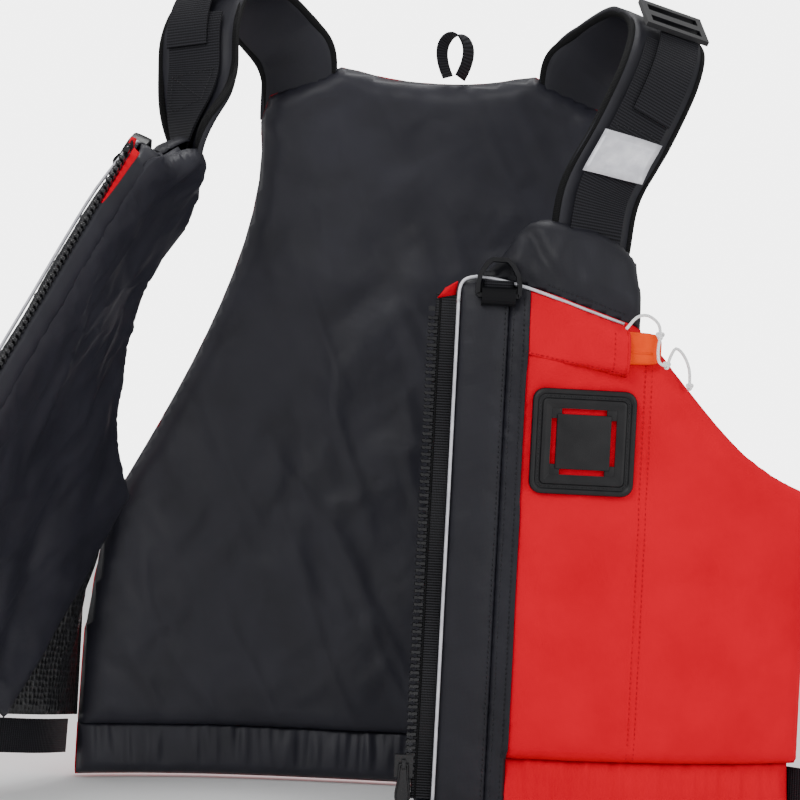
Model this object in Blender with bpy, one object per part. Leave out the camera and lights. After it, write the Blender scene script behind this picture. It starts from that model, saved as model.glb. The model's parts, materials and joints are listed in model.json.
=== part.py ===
"""Front-zip buoyancy vest, built as its sewn and moulded pieces.

Metres, +Z up. The wearer faces -Y, and the wearer's left is +X. The vest stands on its hem.
The left front hangs closed. The right front is swung open about a leaning line at its side.
Each fabric layer is a thin closed sheet on a curved surface, cut to an outline drawn on it:
"across" is the distance from the centre line, "up" the height, "lift" the way out of the body.
"""
import math

import bmesh
import bpy
from mathutils import Matrix, Vector

# ---- driving dimensions of the vest
HALF_WIDTH = 0.285          # front panels, centre to side edge
BACK_HALF_WIDTH = 0.250
FRONT_DEPTH = 0.080         # body centre to the outer face of the front, at the zip
BACK_DEPTH = 0.105
SIDE_SWEEP = 0.060          # how far the side edges curve towards the body centre
ZIP_TOP = 0.356
ZIP_BOTTOM = 0.028
FRONT_TOP = 0.384           # top of the front panel beside the zip
CHEST_SHOULDER = 0.352      # where the armhole meets the shoulder yoke
ARMHOLE_BOTTOM = 0.242
YOKE_TOP = 0.428
BACK_TOP = 0.552
NECK = 0.5365
BACK_ARMHOLE_BOTTOM = 0.200
FRONT_HEM_SEAM = 0.046      # the elastic hem reaches from the ground to this seam
BACK_HEM_SEAM = 0.040

# ---- layers, as lifts off the outer surface
CLOTH = 0.0012
LAYER_GAP = 0.0005
FOAM_OUT = -CLOTH - LAYER_GAP
FOAM_IN = -0.024
LINING_OUT = FOAM_IN - LAYER_GAP
LINING_IN = LINING_OUT - CLOTH
SEAM_GAP = 0.0007           # between two pieces that are sewn edge to edge
FOAM_INSET = 0.006
HEM_OUT = -0.004
HEM_IN = -0.018

# ---- the surface grid: sheets are flat between these lines, so that layers stay parallel
GRID_ACROSS = 0.0475
GRID_UP = 0.090

# ---- front edge: zip, tape, piping, band and pocket placket
ZIP_LIFT = -0.008           # the zip lies below the outer face
TOOTH_TIP = 0.0009
TOOTH_ROOT = 0.0032
CHAIN_EDGE = 0.0055
TOOTH_PITCH = 0.0048
TOOTH_HEIGHT = 0.0027
CHAIN_HALF = 0.0016
TAPE_START = 0.0058
TAPE_END = 0.0245
PANEL_EDGE = 0.0195
FOAM_EDGE = 0.027
BAND_END = 0.0575
PLACKET_END = 0.0700
PIPING_RADIUS = 0.0015
PIPING_LIFT = 0.0022

# ---- small parts
TAB_SIZE = 0.074
TAB_CENTRE = (0.1135, 0.270)
TAB_THICKNESS = 0.0035
POCKET_MOUTH = 0.141
POCKET_LIFT = 0.0135
WHISTLE_LENGTH = 0.046
WHISTLE_HEIGHT = 0.021
WHISTLE_THICKNESS = 0.008
WHISTLE_CENTRE = (0.1405, 0.337)
WHISTLE_LIFT = 0.0072
CORD_RADIUS = 0.0011
RING_CENTRE = 0.049
RING_BAR_UP = 0.3690
RING_LIFT = 0.0066
RING_WIRE = 0.0018
RING_INSIDE = 0.025
RING_HEIGHT = 0.027
SLIDER_UP = 0.0365
SLIDER_HALF = 0.0080
PULL_AXIS = (0.0, -0.0061, 0.0015)   # from the slider's centre
PULL_LENGTH = 0.029
LOOP_WIDTH = 0.012
PAD_WIDTH = 0.058
PAD_THICKNESS = 0.008
SHOULDER_WEBBING = 0.038
WEBBING_THICKNESS = 0.0018
STRAP_GAP = 0.0035          # room for the strap's twist under the shoulder webbing
SIDE_WEBBING = 0.025
ADJUSTER_WIDTH = 0.050
ADJUSTER_HEIGHT = 0.036

# ---- the line that a front swings about, and how far the right front stands open
HINGE_X = 0.244
HINGE_Y = -0.0165
HINGE_Z = 0.180
HINGE_LEAN = (-0.400, 0.030, 0.916)   # on the wearer's left, leaning towards the neck
OPEN_ANGLE = 95.0

LEFT = 1
RIGHT = -1
SIDE_NAME = {LEFT: "left", RIGHT: "right"}


# ---- colours and finishes

MATERIALS = {
    "red_nylon": ((0.80, 0.010, 0.026), 0.72, 0.0),
    "black_nylon": ((0.016, 0.016, 0.019), 0.55, 0.0),
    "charcoal_lining": ((0.035, 0.035, 0.045), 0.50, 0.0),
    "foam": ((0.78, 0.78, 0.76), 0.90, 0.0),
    "webbing": ((0.010, 0.010, 0.011), 0.75, 0.0),
    "mesh_fabric": ((0.008, 0.008, 0.009), 0.60, 0.0),
    "reflective": ((0.60, 0.60, 0.64), 0.35, 0.3),
    "zip_plastic": ((0.012, 0.012, 0.014), 0.28, 0.0),
    "zip_tape": ((0.010, 0.010, 0.011), 0.80, 0.0),
    "black_plastic": ((0.012, 0.012, 0.013), 0.35, 0.0),
    "tab_rubber": ((0.011, 0.011, 0.012), 0.50, 0.0),
    "orange_plastic": ((1.0, 0.145, 0.012), 0.35, 0.0),
    "white_cord": ((0.85, 0.85, 0.85), 0.80, 0.0),
}


def make_material(name):
    """A Principled material with this finish, made once and shared."""
    if name in bpy.data.materials:
        return bpy.data.materials[name]
    colour, roughness, metallic = MATERIALS[name]
    material = bpy.data.materials.new(name)
    material.use_nodes = True
    shader = material.node_tree.nodes["Principled BSDF"]
    shader.inputs["Base Color"].default_value = (*colour, 1.0)
    shader.inputs["Roughness"].default_value = roughness
    shader.inputs["Metallic"].default_value = metallic
    material.diffuse_color = (*colour, 1.0)
    return material


# ---- surfaces

def front_surface(across, up):
    """Y of the outer face of a front: flat at the zip, swept back at the side and shoulder."""
    sweep = SIDE_SWEEP * (abs(across) / HALF_WIDTH) ** 3
    lean = 1.5 * max(0.0, up - 0.310) ** 2
    return -FRONT_DEPTH + sweep + lean


def back_surface(across, up):
    """Y of the outer face of the back, which curves in at the sides and the shoulders."""
    sweep = 0.045 * (abs(across) / BACK_HALF_WIDTH) ** 3
    lean = 0.9 * max(0.0, up - 0.380) ** 2
    return BACK_DEPTH - sweep - lean


def placer(surface, facing, side=LEFT):
    """Return place(across, up, lift), which is flat between the lines of the surface grid."""
    def corner(column, row, lift):
        across, up = column * GRID_ACROSS, row * GRID_UP
        step = 0.001
        slope_across = (surface(across + step, up) - surface(across - step, up)) / (2 * step)
        slope_up = (surface(across, up + step) - surface(across, up - step)) / (2 * step)
        out = Vector((-facing * slope_across, facing, -facing * slope_up)).normalized()
        return Vector((across, surface(across, up), up)) + lift * out

    def place(across, up, lift):
        column, row = math.floor(across / GRID_ACROSS), math.floor(up / GRID_UP)
        right, above = across / GRID_ACROSS - column, up / GRID_UP - row
        low = corner(column, row, lift).lerp(corner(column + 1, row, lift), right)
        high = corner(column, row + 1, lift).lerp(corner(column + 1, row + 1, lift), right)
        point = low.lerp(high, above)
        return Vector((side * point.x, point.y, point.z))

    return place


PLACE_FRONT = {side: placer(front_surface, -1, side) for side in (LEFT, RIGHT)}
PLACE_BACK = placer(back_surface, 1)


# ---- outlines

def bezier(start, pull_start, pull_end, end, count):
    """Points on a cubic curve, its ends included."""
    points = []
    for step in range(count + 1):
        t = step / count
        weights = ((1 - t) ** 3, 3 * t * (1 - t) ** 2, 3 * t * t * (1 - t), t ** 3)
        corners = (start, pull_start, pull_end, end)
        size = len(start)
        points.append(tuple(sum(w * c[k] for w, c in zip(weights, corners)) for k in range(size)))
    return points


def through(route, per_span):
    """Points on a smooth curve that passes through every point of a route."""
    ends = [2 * Vector(route[0]) - Vector(route[1]), 2 * Vector(route[-1]) - Vector(route[-2])]
    points = [ends[0]] + [Vector(p) for p in route] + [ends[1]]
    smooth = []
    for before, a, b, after in zip(points, points[1:], points[2:], points[3:]):
        for step in range(per_span):
            t = step / per_span
            smooth.append(0.5 * (2 * a + (b - before) * t
                                 + (2 * before - 5 * a + 4 * b - after) * t ** 2
                                 + (3 * a - before - 3 * b + after) * t ** 3))
    smooth.append(points[-2])
    return smooth


def rectangle(left, bottom, right, top):
    return [(left, bottom), (right, bottom), (right, top), (left, top)]


def rounded_rectangle(width, height, radius, per_corner=4):
    """Centred outline, anticlockwise, with an arc at each corner."""
    points = []
    for quarter, (x, y) in enumerate(((1, -1), (1, 1), (-1, 1), (-1, -1))):
        centre = (x * (width / 2 - radius), y * (height / 2 - radius))
        for step in range(per_corner + 1):
            angle = math.radians(-90 + 90 * quarter + 90 * step / per_corner)
            points.append((centre[0] + radius * math.cos(angle),
                           centre[1] + radius * math.sin(angle)))
    return points


def front_top(inset=0.0):
    """The seam under the yoke, from beside the zip to the armhole."""
    return [(a, b - inset) for a, b in bezier((0.030, FRONT_TOP), (0.065, FRONT_TOP),
                                              (0.100, 0.366), (0.154, CHEST_SHOULDER), 6)]


def armhole(inset=0.0):
    """Front armhole, from the yoke seam down to the top of the side edge."""
    start, end = (0.154, CHEST_SHOULDER), (HALF_WIDTH, ARMHOLE_BOTTOM)
    curve = bezier(start, (0.196, 0.310), (0.222, 0.262), end, 7)
    return [(a - 0.7 * inset, b - 0.7 * inset) for a, b in curve]


def part_of_top(low, high, inset):
    """The stretch of the yoke seam between two distances across."""
    curve = front_top(inset)

    def height(across):
        for (a0, b0), (a1, b1) in zip(curve, curve[1:]):
            if a0 <= across <= a1:
                return b0 + (b1 - b0) * (across - a0) / (a1 - a0)
        return curve[0][1] if across < curve[0][0] else curve[-1][1]

    inner = [p for p in curve if low + 0.002 < p[0] < high - 0.002]
    return [(low, height(low))] + inner + [(high, height(high))]


def red_outline():
    top = part_of_top(PLACKET_END + SEAM_GAP, 0.154, 0.0)
    return ([(PLACKET_END + SEAM_GAP, FRONT_HEM_SEAM), (HALF_WIDTH, FRONT_HEM_SEAM)]
            + armhole()[::-1] + top[:-1][::-1])


def band_outline():
    top = part_of_top(0.036, BAND_END, 0.0)[::-1]
    corner = bezier(top[-1], (0.026, FRONT_TOP), (PANEL_EDGE, FRONT_TOP - 0.003),
                    (PANEL_EDGE, 0.364), 5)
    return [(PANEL_EDGE, FRONT_HEM_SEAM), (BAND_END, FRONT_HEM_SEAM)] + top[:-1] + corner


def placket_outline():
    low, high = BAND_END + SEAM_GAP, PLACKET_END
    return [(low, FRONT_HEM_SEAM), (high, FRONT_HEM_SEAM)] + part_of_top(low, high, 0.0)[::-1]


def chest_outline(inset):
    """Everything below the yoke seam, inside a margin."""
    return ([(FOAM_EDGE, FRONT_HEM_SEAM + inset), (HALF_WIDTH - inset, FRONT_HEM_SEAM + inset)]
            + armhole(inset)[::-1] + front_top(inset)[:-1][::-1] + [(FOAM_EDGE, 0.372)])


def yoke_edge():
    """Shoulder yoke, from the neck corner over its top and down to the armhole."""
    neck = bezier((0.034, 0.388), (0.058, 0.392), (0.054, YOKE_TOP), (0.083, YOKE_TOP), 6)
    top = bezier((0.083, YOKE_TOP), (0.105, YOKE_TOP), (0.142, 0.414), (0.148, 0.400), 5)
    return neck + top[1:] + [(0.1515, 0.376), (0.156, CHEST_SHOULDER + 0.003)]


def yoke_outline():
    seam = front_top(-SEAM_GAP - 0.001)
    return yoke_edge()[::-1] + seam[1:-1]


def yoke_foam_outline():
    return [(0.066, 0.392), (0.104, 0.381), (0.142, 0.368), (0.143, 0.384),
            (0.138, 0.402), (0.118, 0.414), (0.085, 0.420), (0.070, 0.410)]


def lining_outline():
    edge = yoke_edge()
    return ([(PANEL_EDGE, FRONT_HEM_SEAM), (HALF_WIDTH, FRONT_HEM_SEAM)]
            + armhole()[::-1] + edge[::-1][2:] + [(0.024, 0.384), (PANEL_EDGE, 0.372)])


def back_half(inset=0.0):
    """Right-hand half of the back's outline, from the hem seam up to the neck."""
    hole = bezier((0.236, BACK_ARMHOLE_BOTTOM), (0.205, 0.262), (0.120, 0.400), (0.134, 0.500), 8)
    shoulder = [(0.128, 0.520), (0.074, 0.545)]
    neck = bezier((0.060, 0.543), (0.040, 0.538), (0.020, NECK), (0.0, NECK), 3)
    side = [(BACK_HALF_WIDTH, BACK_HEM_SEAM), (BACK_HALF_WIDTH - 0.002, 0.110)]
    points = side + hole + shoulder + neck[:-1]
    lowest = BACK_HEM_SEAM + inset
    return [(a - inset, max(b - inset, lowest)) for a, b in points]


def back_outline(inset=0.0, low=None, high=None):
    """The back's outline, or the part of it between two heights."""
    half = back_half(inset)
    if low is not None:
        half = clip_half(half, low, high)
    mirrored = [(-a, b) for a, b in half][::-1]
    middle = [] if low is not None else [(0.0, NECK - inset)]
    return half + middle + mirrored


def clip_half(half, low, high):
    """Keep the part of a rising half outline between two heights, cut level."""
    kept = []
    for (a0, b0), (a1, b1) in zip(half, half[1:]):
        if low <= b0 <= high:
            kept.append((a0, b0))
        for cut in sorted((low, high), reverse=b1 < b0):
            if min(b0, b1) < cut < max(b0, b1):
                kept.append((a0 + (a1 - a0) * (cut - b0) / (b1 - b0), cut))
    if low <= half[-1][1] <= high:
        kept.append(half[-1])
    return kept


# ---- solids

def sheet(outline, place, inner, outer):
    """Closed sheet between two lifts, cut to an outline and creased along the surface grid."""
    bm = bmesh.new()
    bm.faces.new([bm.verts.new((a, 0.0, b)) for a, b in outline])
    cut_along_grid(bm, 0, GRID_ACROSS, outline)
    cut_along_grid(bm, 2, GRID_UP, outline)
    bmesh.ops.triangulate(bm, faces=bm.faces[:], ngon_method="EAR_CLIP")
    near = list(bm.verts)
    flat = {v: (v.co.x, v.co.z) for v in near}
    edges = [e for e in bm.edges if e.is_boundary]
    faces = list(bm.faces)
    far = {v: bm.verts.new(place(*flat[v], inner)) for v in near}
    for vertex in near:
        vertex.co = place(*flat[vertex], outer)
    for face in faces:
        bm.faces.new([far[v] for v in reversed(face.verts)])
    for edge in edges:
        a, b = edge.verts
        bm.faces.new((a, b, far[b], far[a]))
    return face_outwards(bm)


def cut_along_grid(bm, axis, spacing, outline):
    values = [point[0 if axis == 0 else 1] for point in outline]
    normal = Vector((1, 0, 0)) if axis == 0 else Vector((0, 0, 1))
    for line in range(math.ceil(min(values) / spacing), math.floor(max(values) / spacing) + 1):
        everything = bm.verts[:] + bm.edges[:] + bm.faces[:]
        bmesh.ops.bisect_plane(bm, geom=everything, dist=1e-6,
                               plane_co=normal * line * spacing, plane_no=normal)


def face_outwards(bm):
    bmesh.ops.triangulate(bm, faces=bm.faces[:], ngon_method="EAR_CLIP")
    bmesh.ops.recalc_face_normals(bm, faces=bm.faces[:])
    if bm.calc_volume(signed=True) < 0:
        bmesh.ops.reverse_faces(bm, faces=bm.faces[:])
    return bm


def loft(sections):
    """Closed solid through a row of equal rings of points."""
    bm = bmesh.new()
    rings = [[bm.verts.new(p) for p in ring] for ring in sections]
    for ring, following in zip(rings, rings[1:]):
        for k in range(len(ring)):
            n = (k + 1) % len(ring)
            bm.faces.new((ring[k], ring[n], following[n], following[k]))
    bm.faces.new(rings[0][::-1])
    bm.faces.new(rings[-1])
    return face_outwards(bm)


def strip(path, across, width, thickness):
    """Flat strap along a path; across gives the width direction at each point."""
    sections = []
    for k, point in enumerate(path):
        ahead = path[min(k + 1, len(path) - 1)] - path[max(k - 1, 0)]
        wide = (across[k] - ahead * (across[k].dot(ahead) / ahead.length_squared)).normalized()
        thick = ahead.cross(wide).normalized() * (thickness / 2)
        wide = wide * (width / 2)
        sections.append([point - wide - thick, point + wide - thick,
                         point + wide + thick, point - wide + thick])
    return loft(sections)


def slotted_plate(width, height, thickness, slots):
    """Flat plate centred on the origin, facing -Y, with rectangular slots through it."""
    xs = sorted({-width / 2, width / 2} | {x for s in slots for x in (s[0], s[2])})
    zs = sorted({-height / 2, height / 2} | {z for s in slots for z in (s[1], s[3])})
    bm = bmesh.new()
    corners = {}

    def corner(x, z):
        if (x, z) not in corners:
            corners[x, z] = bm.verts.new((x, -thickness / 2, z))
        return corners[x, z]

    for x0, x1 in zip(xs, xs[1:]):
        for z0, z1 in zip(zs, zs[1:]):
            middle_x, middle_z = (x0 + x1) / 2, (z0 + z1) / 2
            if any(s[0] < middle_x < s[2] and s[1] < middle_z < s[3] for s in slots):
                continue
            bm.faces.new((corner(x0, z0), corner(x1, z0), corner(x1, z1), corner(x0, z1)))
    return thicken(bm, thickness)


def thicken(bm, thickness):
    """Turn flat faces that share their edges into a plate that reaches towards +Y."""
    grown = bmesh.ops.extrude_face_region(bm, geom=bm.faces[:])
    moved = [g for g in grown["geom"] if isinstance(g, bmesh.types.BMVert)]
    bmesh.ops.translate(bm, verts=moved, vec=(0.0, thickness, 0.0))
    return face_outwards(bm)


def box(low, high):
    bm = bmesh.new()
    bmesh.ops.create_cube(bm, size=1.0)
    size, middle = Vector(high) - Vector(low), (Vector(high) + Vector(low)) / 2
    bmesh.ops.transform(bm, verts=bm.verts[:],
                        matrix=Matrix.Translation(middle) @ Matrix.Diagonal((*size, 1.0)))
    return bm


def prism(outline, low, high):
    """Closed prism: an outline in X and Z, from one Y to another."""
    bm = bmesh.new()
    near = [bm.verts.new((x, low, z)) for x, z in outline]
    far = [bm.verts.new((x, high, z)) for x, z in outline]
    for k in range(len(near)):
        n = (k + 1) % len(near)
        bm.faces.new((near[k], near[n], far[n], far[k]))
    bm.faces.new(near[::-1])
    bm.faces.new(far)
    return face_outwards(bm)


# ---- scene helpers

def add_piece(name, bm, material, parent=None, location=(0, 0, 0), smooth=False):
    """Make the object of one sub-part. Its mesh is given in world axes, seen from its location."""
    mesh = bpy.data.meshes.new(name)
    bm.to_mesh(mesh)
    bm.free()
    mesh.materials.append(make_material(material))
    if smooth:
        mesh.shade_smooth()
        mesh.set_sharp_from_angle(angle=math.radians(40))
    piece = bpy.data.objects.new(name, mesh)
    piece.location = location
    bpy.context.scene.collection.objects.link(piece)
    piece.parent = parent
    return piece


def add_empty(name, location, parent=None):
    empty = bpy.data.objects.new(name, None)
    empty.empty_display_size = 0.03
    empty.location = location
    bpy.context.scene.collection.objects.link(empty)
    empty.parent = parent
    return empty


def add_cord(name, points, radius, material, parent, location):
    """Round cord along a row of points, as a bevelled curve with filled ends."""
    curve = bpy.data.curves.new(name, "CURVE")
    curve.dimensions = "3D"
    curve.bevel_depth = radius
    curve.bevel_resolution = 2
    curve.use_fill_caps = True
    spline = curve.splines.new("POLY")
    spline.points.add(len(points) - 1)
    for point, co in zip(spline.points, points):
        point.co = (*co, 1.0)
    curve.materials.append(make_material(material))
    cord = bpy.data.objects.new(name, curve)
    cord.location = location
    bpy.context.scene.collection.objects.link(cord)
    cord.parent = parent
    return cord


def add_cutter(name, bm, parent, location):
    cutter = add_piece(name, bm, "black_plastic", parent, location)
    cutter.hide_render = True
    cutter.display_type = "WIRE"
    return cutter


def cut_with(piece, cutter):
    modifier = piece.modifiers.new("cut", "BOOLEAN")
    modifier.object = cutter
    modifier.operation = "DIFFERENCE"
    modifier.solver = "EXACT"


# ---- one front, drawn closed; its pivot then holds it shut or open

def hinge_line(side):
    point = Vector((side * HINGE_X, HINGE_Y, HINGE_Z))
    lean = Vector((side * HINGE_LEAN[0], HINGE_LEAN[1], HINGE_LEAN[2])).normalized()
    return point, lean


def make_pivot(side, opened):
    """Empty on a front's hinge line. Its pieces are drawn closed and seen from that point."""
    point, lean = hinge_line(side)
    pivot = add_empty(SIDE_NAME[side] + "_front_pivot", point)
    pivot.rotation_mode = "QUATERNION"
    pivot.rotation_quaternion = Matrix.Rotation(math.radians(side * opened), 3, lean).to_quaternion()
    return pivot, -point


def make_front_fabric(side, add, place):
    name = SIDE_NAME[side]
    add("outer_panel_" + name, sheet(red_outline(), place, -CLOTH, 0.0), "red_nylon")
    add("front_band_" + name, sheet(band_outline(), place, -CLOTH, 0.0), "black_nylon")
    add("pocket_placket_" + name, sheet(placket_outline(), place, -CLOTH, 0.0), "black_nylon")
    add("shoulder_yoke_" + name, sheet(yoke_outline(), place, -CLOTH, 0.0), "black_nylon")
    add("chest_foam_" + name, sheet(chest_outline(FOAM_INSET), place, FOAM_IN, FOAM_OUT), "foam")
    add("yoke_foam_" + name, sheet(yoke_foam_outline(), place, FOAM_IN + 0.008, FOAM_OUT), "foam")
    add("front_lining_" + name, sheet(lining_outline(), place, LINING_IN, LINING_OUT),
        "charcoal_lining")
    hem = rectangle(TAPE_END + LAYER_GAP, 0.0, HALF_WIDTH, FRONT_HEM_SEAM - SEAM_GAP)
    add("hem_elastic_" + name, sheet(hem, place, HEM_IN, HEM_OUT), "webbing")


def piping_route():
    """Up beside the zip, round the corner and along the yoke seam to the armhole."""
    up = [(PANEL_EDGE + 0.002, b) for b in (0.047, 0.090, 0.180, 0.270, 0.340)]
    corner = bezier((PANEL_EDGE + 0.002, 0.362), (PANEL_EDGE + 0.002, 0.376),
                    (0.022, FRONT_TOP - 0.003), (0.036, FRONT_TOP - 0.003), 6)
    return up + corner + front_top(0.003)[2:]


def make_piping(side, add_tube, place):
    points = [place(a, b, PIPING_LIFT) for a, b in piping_route()]
    add_tube("reflective_piping_" + SIDE_NAME[side], points, PIPING_RADIUS, "reflective")


def chain_solid(side, zip_y):
    """One row of moulded teeth on its spine: a comb, built a tooth at a time."""
    bm = bmesh.new()

    def corners(across, *heights):
        return [bm.verts.new((side * across, zip_y - CHAIN_HALF, z)) for z in heights]

    spine = [corners(CHAIN_EDGE, ZIP_BOTTOM) + corners(TOOTH_ROOT, ZIP_BOTTOM)]
    for k in range(int((ZIP_TOP - ZIP_BOTTOM) / TOOTH_PITCH)):
        low = ZIP_BOTTOM + (k + 0.2) * TOOTH_PITCH
        high = low + TOOTH_HEIGHT
        edges, roots = corners(CHAIN_EDGE, low, high), corners(TOOTH_ROOT, low, high)
        tips = corners(TOOTH_TIP, low + 0.0005, high - 0.0005)
        spine += [[edges[0], roots[0]], [edges[1], roots[1]]]
        bm.faces.new((roots[0], tips[0], tips[1], roots[1]))
    spine.append(corners(CHAIN_EDGE, ZIP_TOP) + corners(TOOTH_ROOT, ZIP_TOP))
    for (edge, root), (next_edge, next_root) in zip(spine, spine[1:]):
        bm.faces.new((edge, root, next_root, next_edge))
    return thicken(bm, 2 * CHAIN_HALF)


def make_zip_side(side, add):
    name = SIDE_NAME[side]
    zip_y = -FRONT_DEPTH - ZIP_LIFT
    add("zip_teeth_" + name, chain_solid(side, zip_y), "zip_plastic")
    tape = rectangle(side * TAPE_START, 0.020, side * TAPE_END, 0.362)
    add("zip_tape_" + name, prism(tape, zip_y - 0.0005, zip_y + 0.0005), "zip_tape")
    end = sorted((side * TOOTH_TIP, side * CHAIN_EDGE))
    add("zip_end_" + name, box((end[0], zip_y - 0.0018, 0.0195), (end[1], zip_y + 0.0018, 0.0272)),
        "zip_plastic")
    add("zip_top_stop_" + name, box((end[0], zip_y - 0.0018, ZIP_TOP + 0.0008),
                                    (end[1], zip_y + 0.0018, ZIP_TOP + 0.0042)), "reflective")
    facing = [(side * a, b) for a, b in ((0.0065, 0.3635), (0.0185, 0.3635), (0.0185, 0.377))]
    add("zip_facing_" + name, prism(facing, zip_y - 0.0006, zip_y + 0.0006), "red_nylon")


def make_lash_tab(side, add, place):
    """Square moulded patch with a slot along each edge, flat on the chest."""
    name = SIDE_NAME[side]
    reach, long, wide = 0.0245, 0.0165, 0.0030
    slots = [(-long, reach - wide, long, reach + wide), (-long, -reach - wide, long, -reach + wide),
             (reach - wide, -long, reach + wide, long), (-reach - wide, -long, -reach + wide, long)]
    centre = place(*TAB_CENTRE, 0.0)
    tangent = place(TAB_CENTRE[0] + 0.03, TAB_CENTRE[1], 0.0)
    tangent = tangent - place(TAB_CENTRE[0] - 0.03, TAB_CENTRE[1], 0.0)
    turn = Matrix.Rotation(math.atan2(side * tangent.y, side * tangent.x), 4, "Z")
    out = turn @ Vector((0, -1, 0))
    plate = slotted_plate(TAB_SIZE, TAB_SIZE, TAB_THICKNESS, slots)
    middle = centre + out * (TAB_THICKNESS / 2 + 0.0016)
    bmesh.ops.transform(plate, verts=plate.verts[:], matrix=Matrix.Translation(middle) @ turn)
    add("lash_tab_" + name, plate, "tab_rubber")


def ring_matrix(side, place):
    """Places a ring drawn in the X-Z plane on its bar, flat against the yoke."""
    bar = place(RING_CENTRE, RING_BAR_UP, RING_LIFT)
    above = place(RING_CENTRE, RING_BAR_UP + 0.02, RING_LIFT)
    beside = place(RING_CENTRE + side * 0.015, RING_BAR_UP, RING_LIFT)
    across = (beside - bar).normalized()
    up = (above - bar)
    up = (up - across * up.dot(across)).normalized()
    matrix = Matrix((across, up.cross(across), up)).transposed().to_4x4()
    matrix.translation = bar
    return matrix


def ring_path():
    """Angular arch over a straight bar, drawn round its own centre line."""
    half = RING_INSIDE / 2 + RING_WIRE
    return [(-half, 0.0), (half, 0.0), (half, 0.009), (0.4 * half, RING_HEIGHT - RING_WIRE),
            (-0.4 * half, RING_HEIGHT - RING_WIRE), (-half, 0.009)]


def ring_solid():
    """Square-edged ring: the arch grown outwards and inwards by the wire's half width."""
    outer, inner = grown(ring_path(), RING_WIRE), grown(ring_path(), -RING_WIRE)
    bm = bmesh.new()
    loops = []
    for outline, y in ((outer, -RING_WIRE), (outer, RING_WIRE),
                       (inner, RING_WIRE), (inner, -RING_WIRE)):
        loops.append([bm.verts.new((x, y, z)) for x, z in outline])
    join_rings(bm, loops)
    return face_outwards(bm)


def grown(outline, distance):
    """Offset a convex anticlockwise outline outwards."""
    count, result = len(outline), []
    for k in range(count):
        before, here, after = (Vector(outline[(k + d) % count]) for d in (-1, 0, 1))
        first, second = (here - before).normalized(), (after - here).normalized()
        out = Vector((first.y, -first.x)) + Vector((second.y, -second.x))
        out.normalize()
        cosine = out.dot(Vector((first.y, -first.x)))
        result.append(tuple(here + out * (distance / cosine)))
    return result


def sleeve(outer_size, inner_size, length, shift):
    """Sleeve along X, open at both ends, round a hole that is centred on the origin."""
    outer = [(y + shift[0], z + shift[1])
             for y, z in rounded_rectangle(*outer_size, 0.45 * min(outer_size), 3)]
    inner = rounded_rectangle(*inner_size, 0.42 * min(inner_size), 3)
    half = length / 2
    bm = bmesh.new()
    loops = []
    for outline, x in ((outer, -half), (outer, half), (inner, half), (inner, -half)):
        loops.append([bm.verts.new((x, y, z)) for y, z in outline])
    join_rings(bm, loops)
    return face_outwards(bm)


def join_rings(bm, loops):
    """Skin a row of equal rings that closes on itself."""
    for loop, following in zip(loops, loops[1:] + loops[:1]):
        for k in range(len(loop)):
            n = (k + 1) % len(loop)
            bm.faces.new((loop[k], loop[n], following[n], following[k]))


def make_ring(side, pivot, seen_from, add, place):
    """The ring hangs on its own empty at its bar, inside a sewn webbing loop."""
    name = SIDE_NAME[side]
    matrix = ring_matrix(side, place)
    wrap = sleeve((0.0098, 0.0130), (0.0066, 0.0066), RING_INSIDE - 0.0012, (0.0, -0.0014))
    bmesh.ops.transform(wrap, verts=wrap.verts[:], matrix=matrix)
    add("ring_loop_" + name, wrap, "webbing")
    bar = add_empty("ring_pivot_" + name, seen_from + matrix.translation, pivot)
    ring = ring_solid()
    bmesh.ops.transform(ring, verts=ring.verts[:], matrix=matrix.to_3x3().to_4x4())
    add_piece("lash_ring_" + name, ring, "black_plastic", bar)


def make_front(side, opened):
    """All the pieces of one front. Returns what the small parts on it are placed with."""
    pivot, seen_from = make_pivot(side, opened)
    place = PLACE_FRONT[side]

    def add(name, bm, material):
        return add_piece(name, bm, material, pivot, seen_from)

    def add_tube(name, points, radius, material):
        return add_cord(name, points, radius, material, pivot, seen_from)

    make_front_fabric(side, add, place)
    make_piping(side, add_tube, place)
    make_zip_side(side, add)
    make_lash_tab(side, add, place)
    make_ring(side, pivot, seen_from, add, place)
    return pivot, seen_from, place


# ---- whistle pocket, whistle and its cord, on the left front

def pocket_outline(inset=0.0, mouth=POCKET_MOUTH):
    low = 0.0755 + inset
    top = part_of_top(low, POCKET_MOUTH, 0.0)[:-1] + [(mouth, 0.3585)]
    return ([(low, 0.328 + inset), (mouth, 0.319 + inset)]
            + [(a, b - 0.0080 - inset) for a, b in top[::-1]])


def make_whistle_pocket(pivot, seen_from, place):
    pouch = add_piece("whistle_pocket", sheet(pocket_outline(), place, 0.0008, POCKET_LIFT),
                      "red_nylon", pivot, seen_from)
    hollow = sheet(pocket_outline(0.0022, POCKET_MOUTH + 0.02), place, 0.0016, POCKET_LIFT - 0.0008)
    cut_with(pouch, add_cutter("pocket_hollow", hollow, pivot, seen_from))


def whistle_matrix(place):
    """Whistle's own frame: X out of the pocket's mouth, Y into the chest, Z up."""
    across, up = WHISTLE_CENTRE
    ends = [place(across + reach, up, WHISTLE_LIFT) for reach in (-0.02, 0.02)]
    centre = (ends[0] + ends[1]) / 2
    along = ends[1] - ends[0]
    along.z = 0.0
    along.normalize()
    matrix = Matrix((along, Vector((-along.y, along.x, 0)), Vector((0, 0, 1)))).transposed().to_4x4()
    matrix.translation = centre
    return matrix


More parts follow.
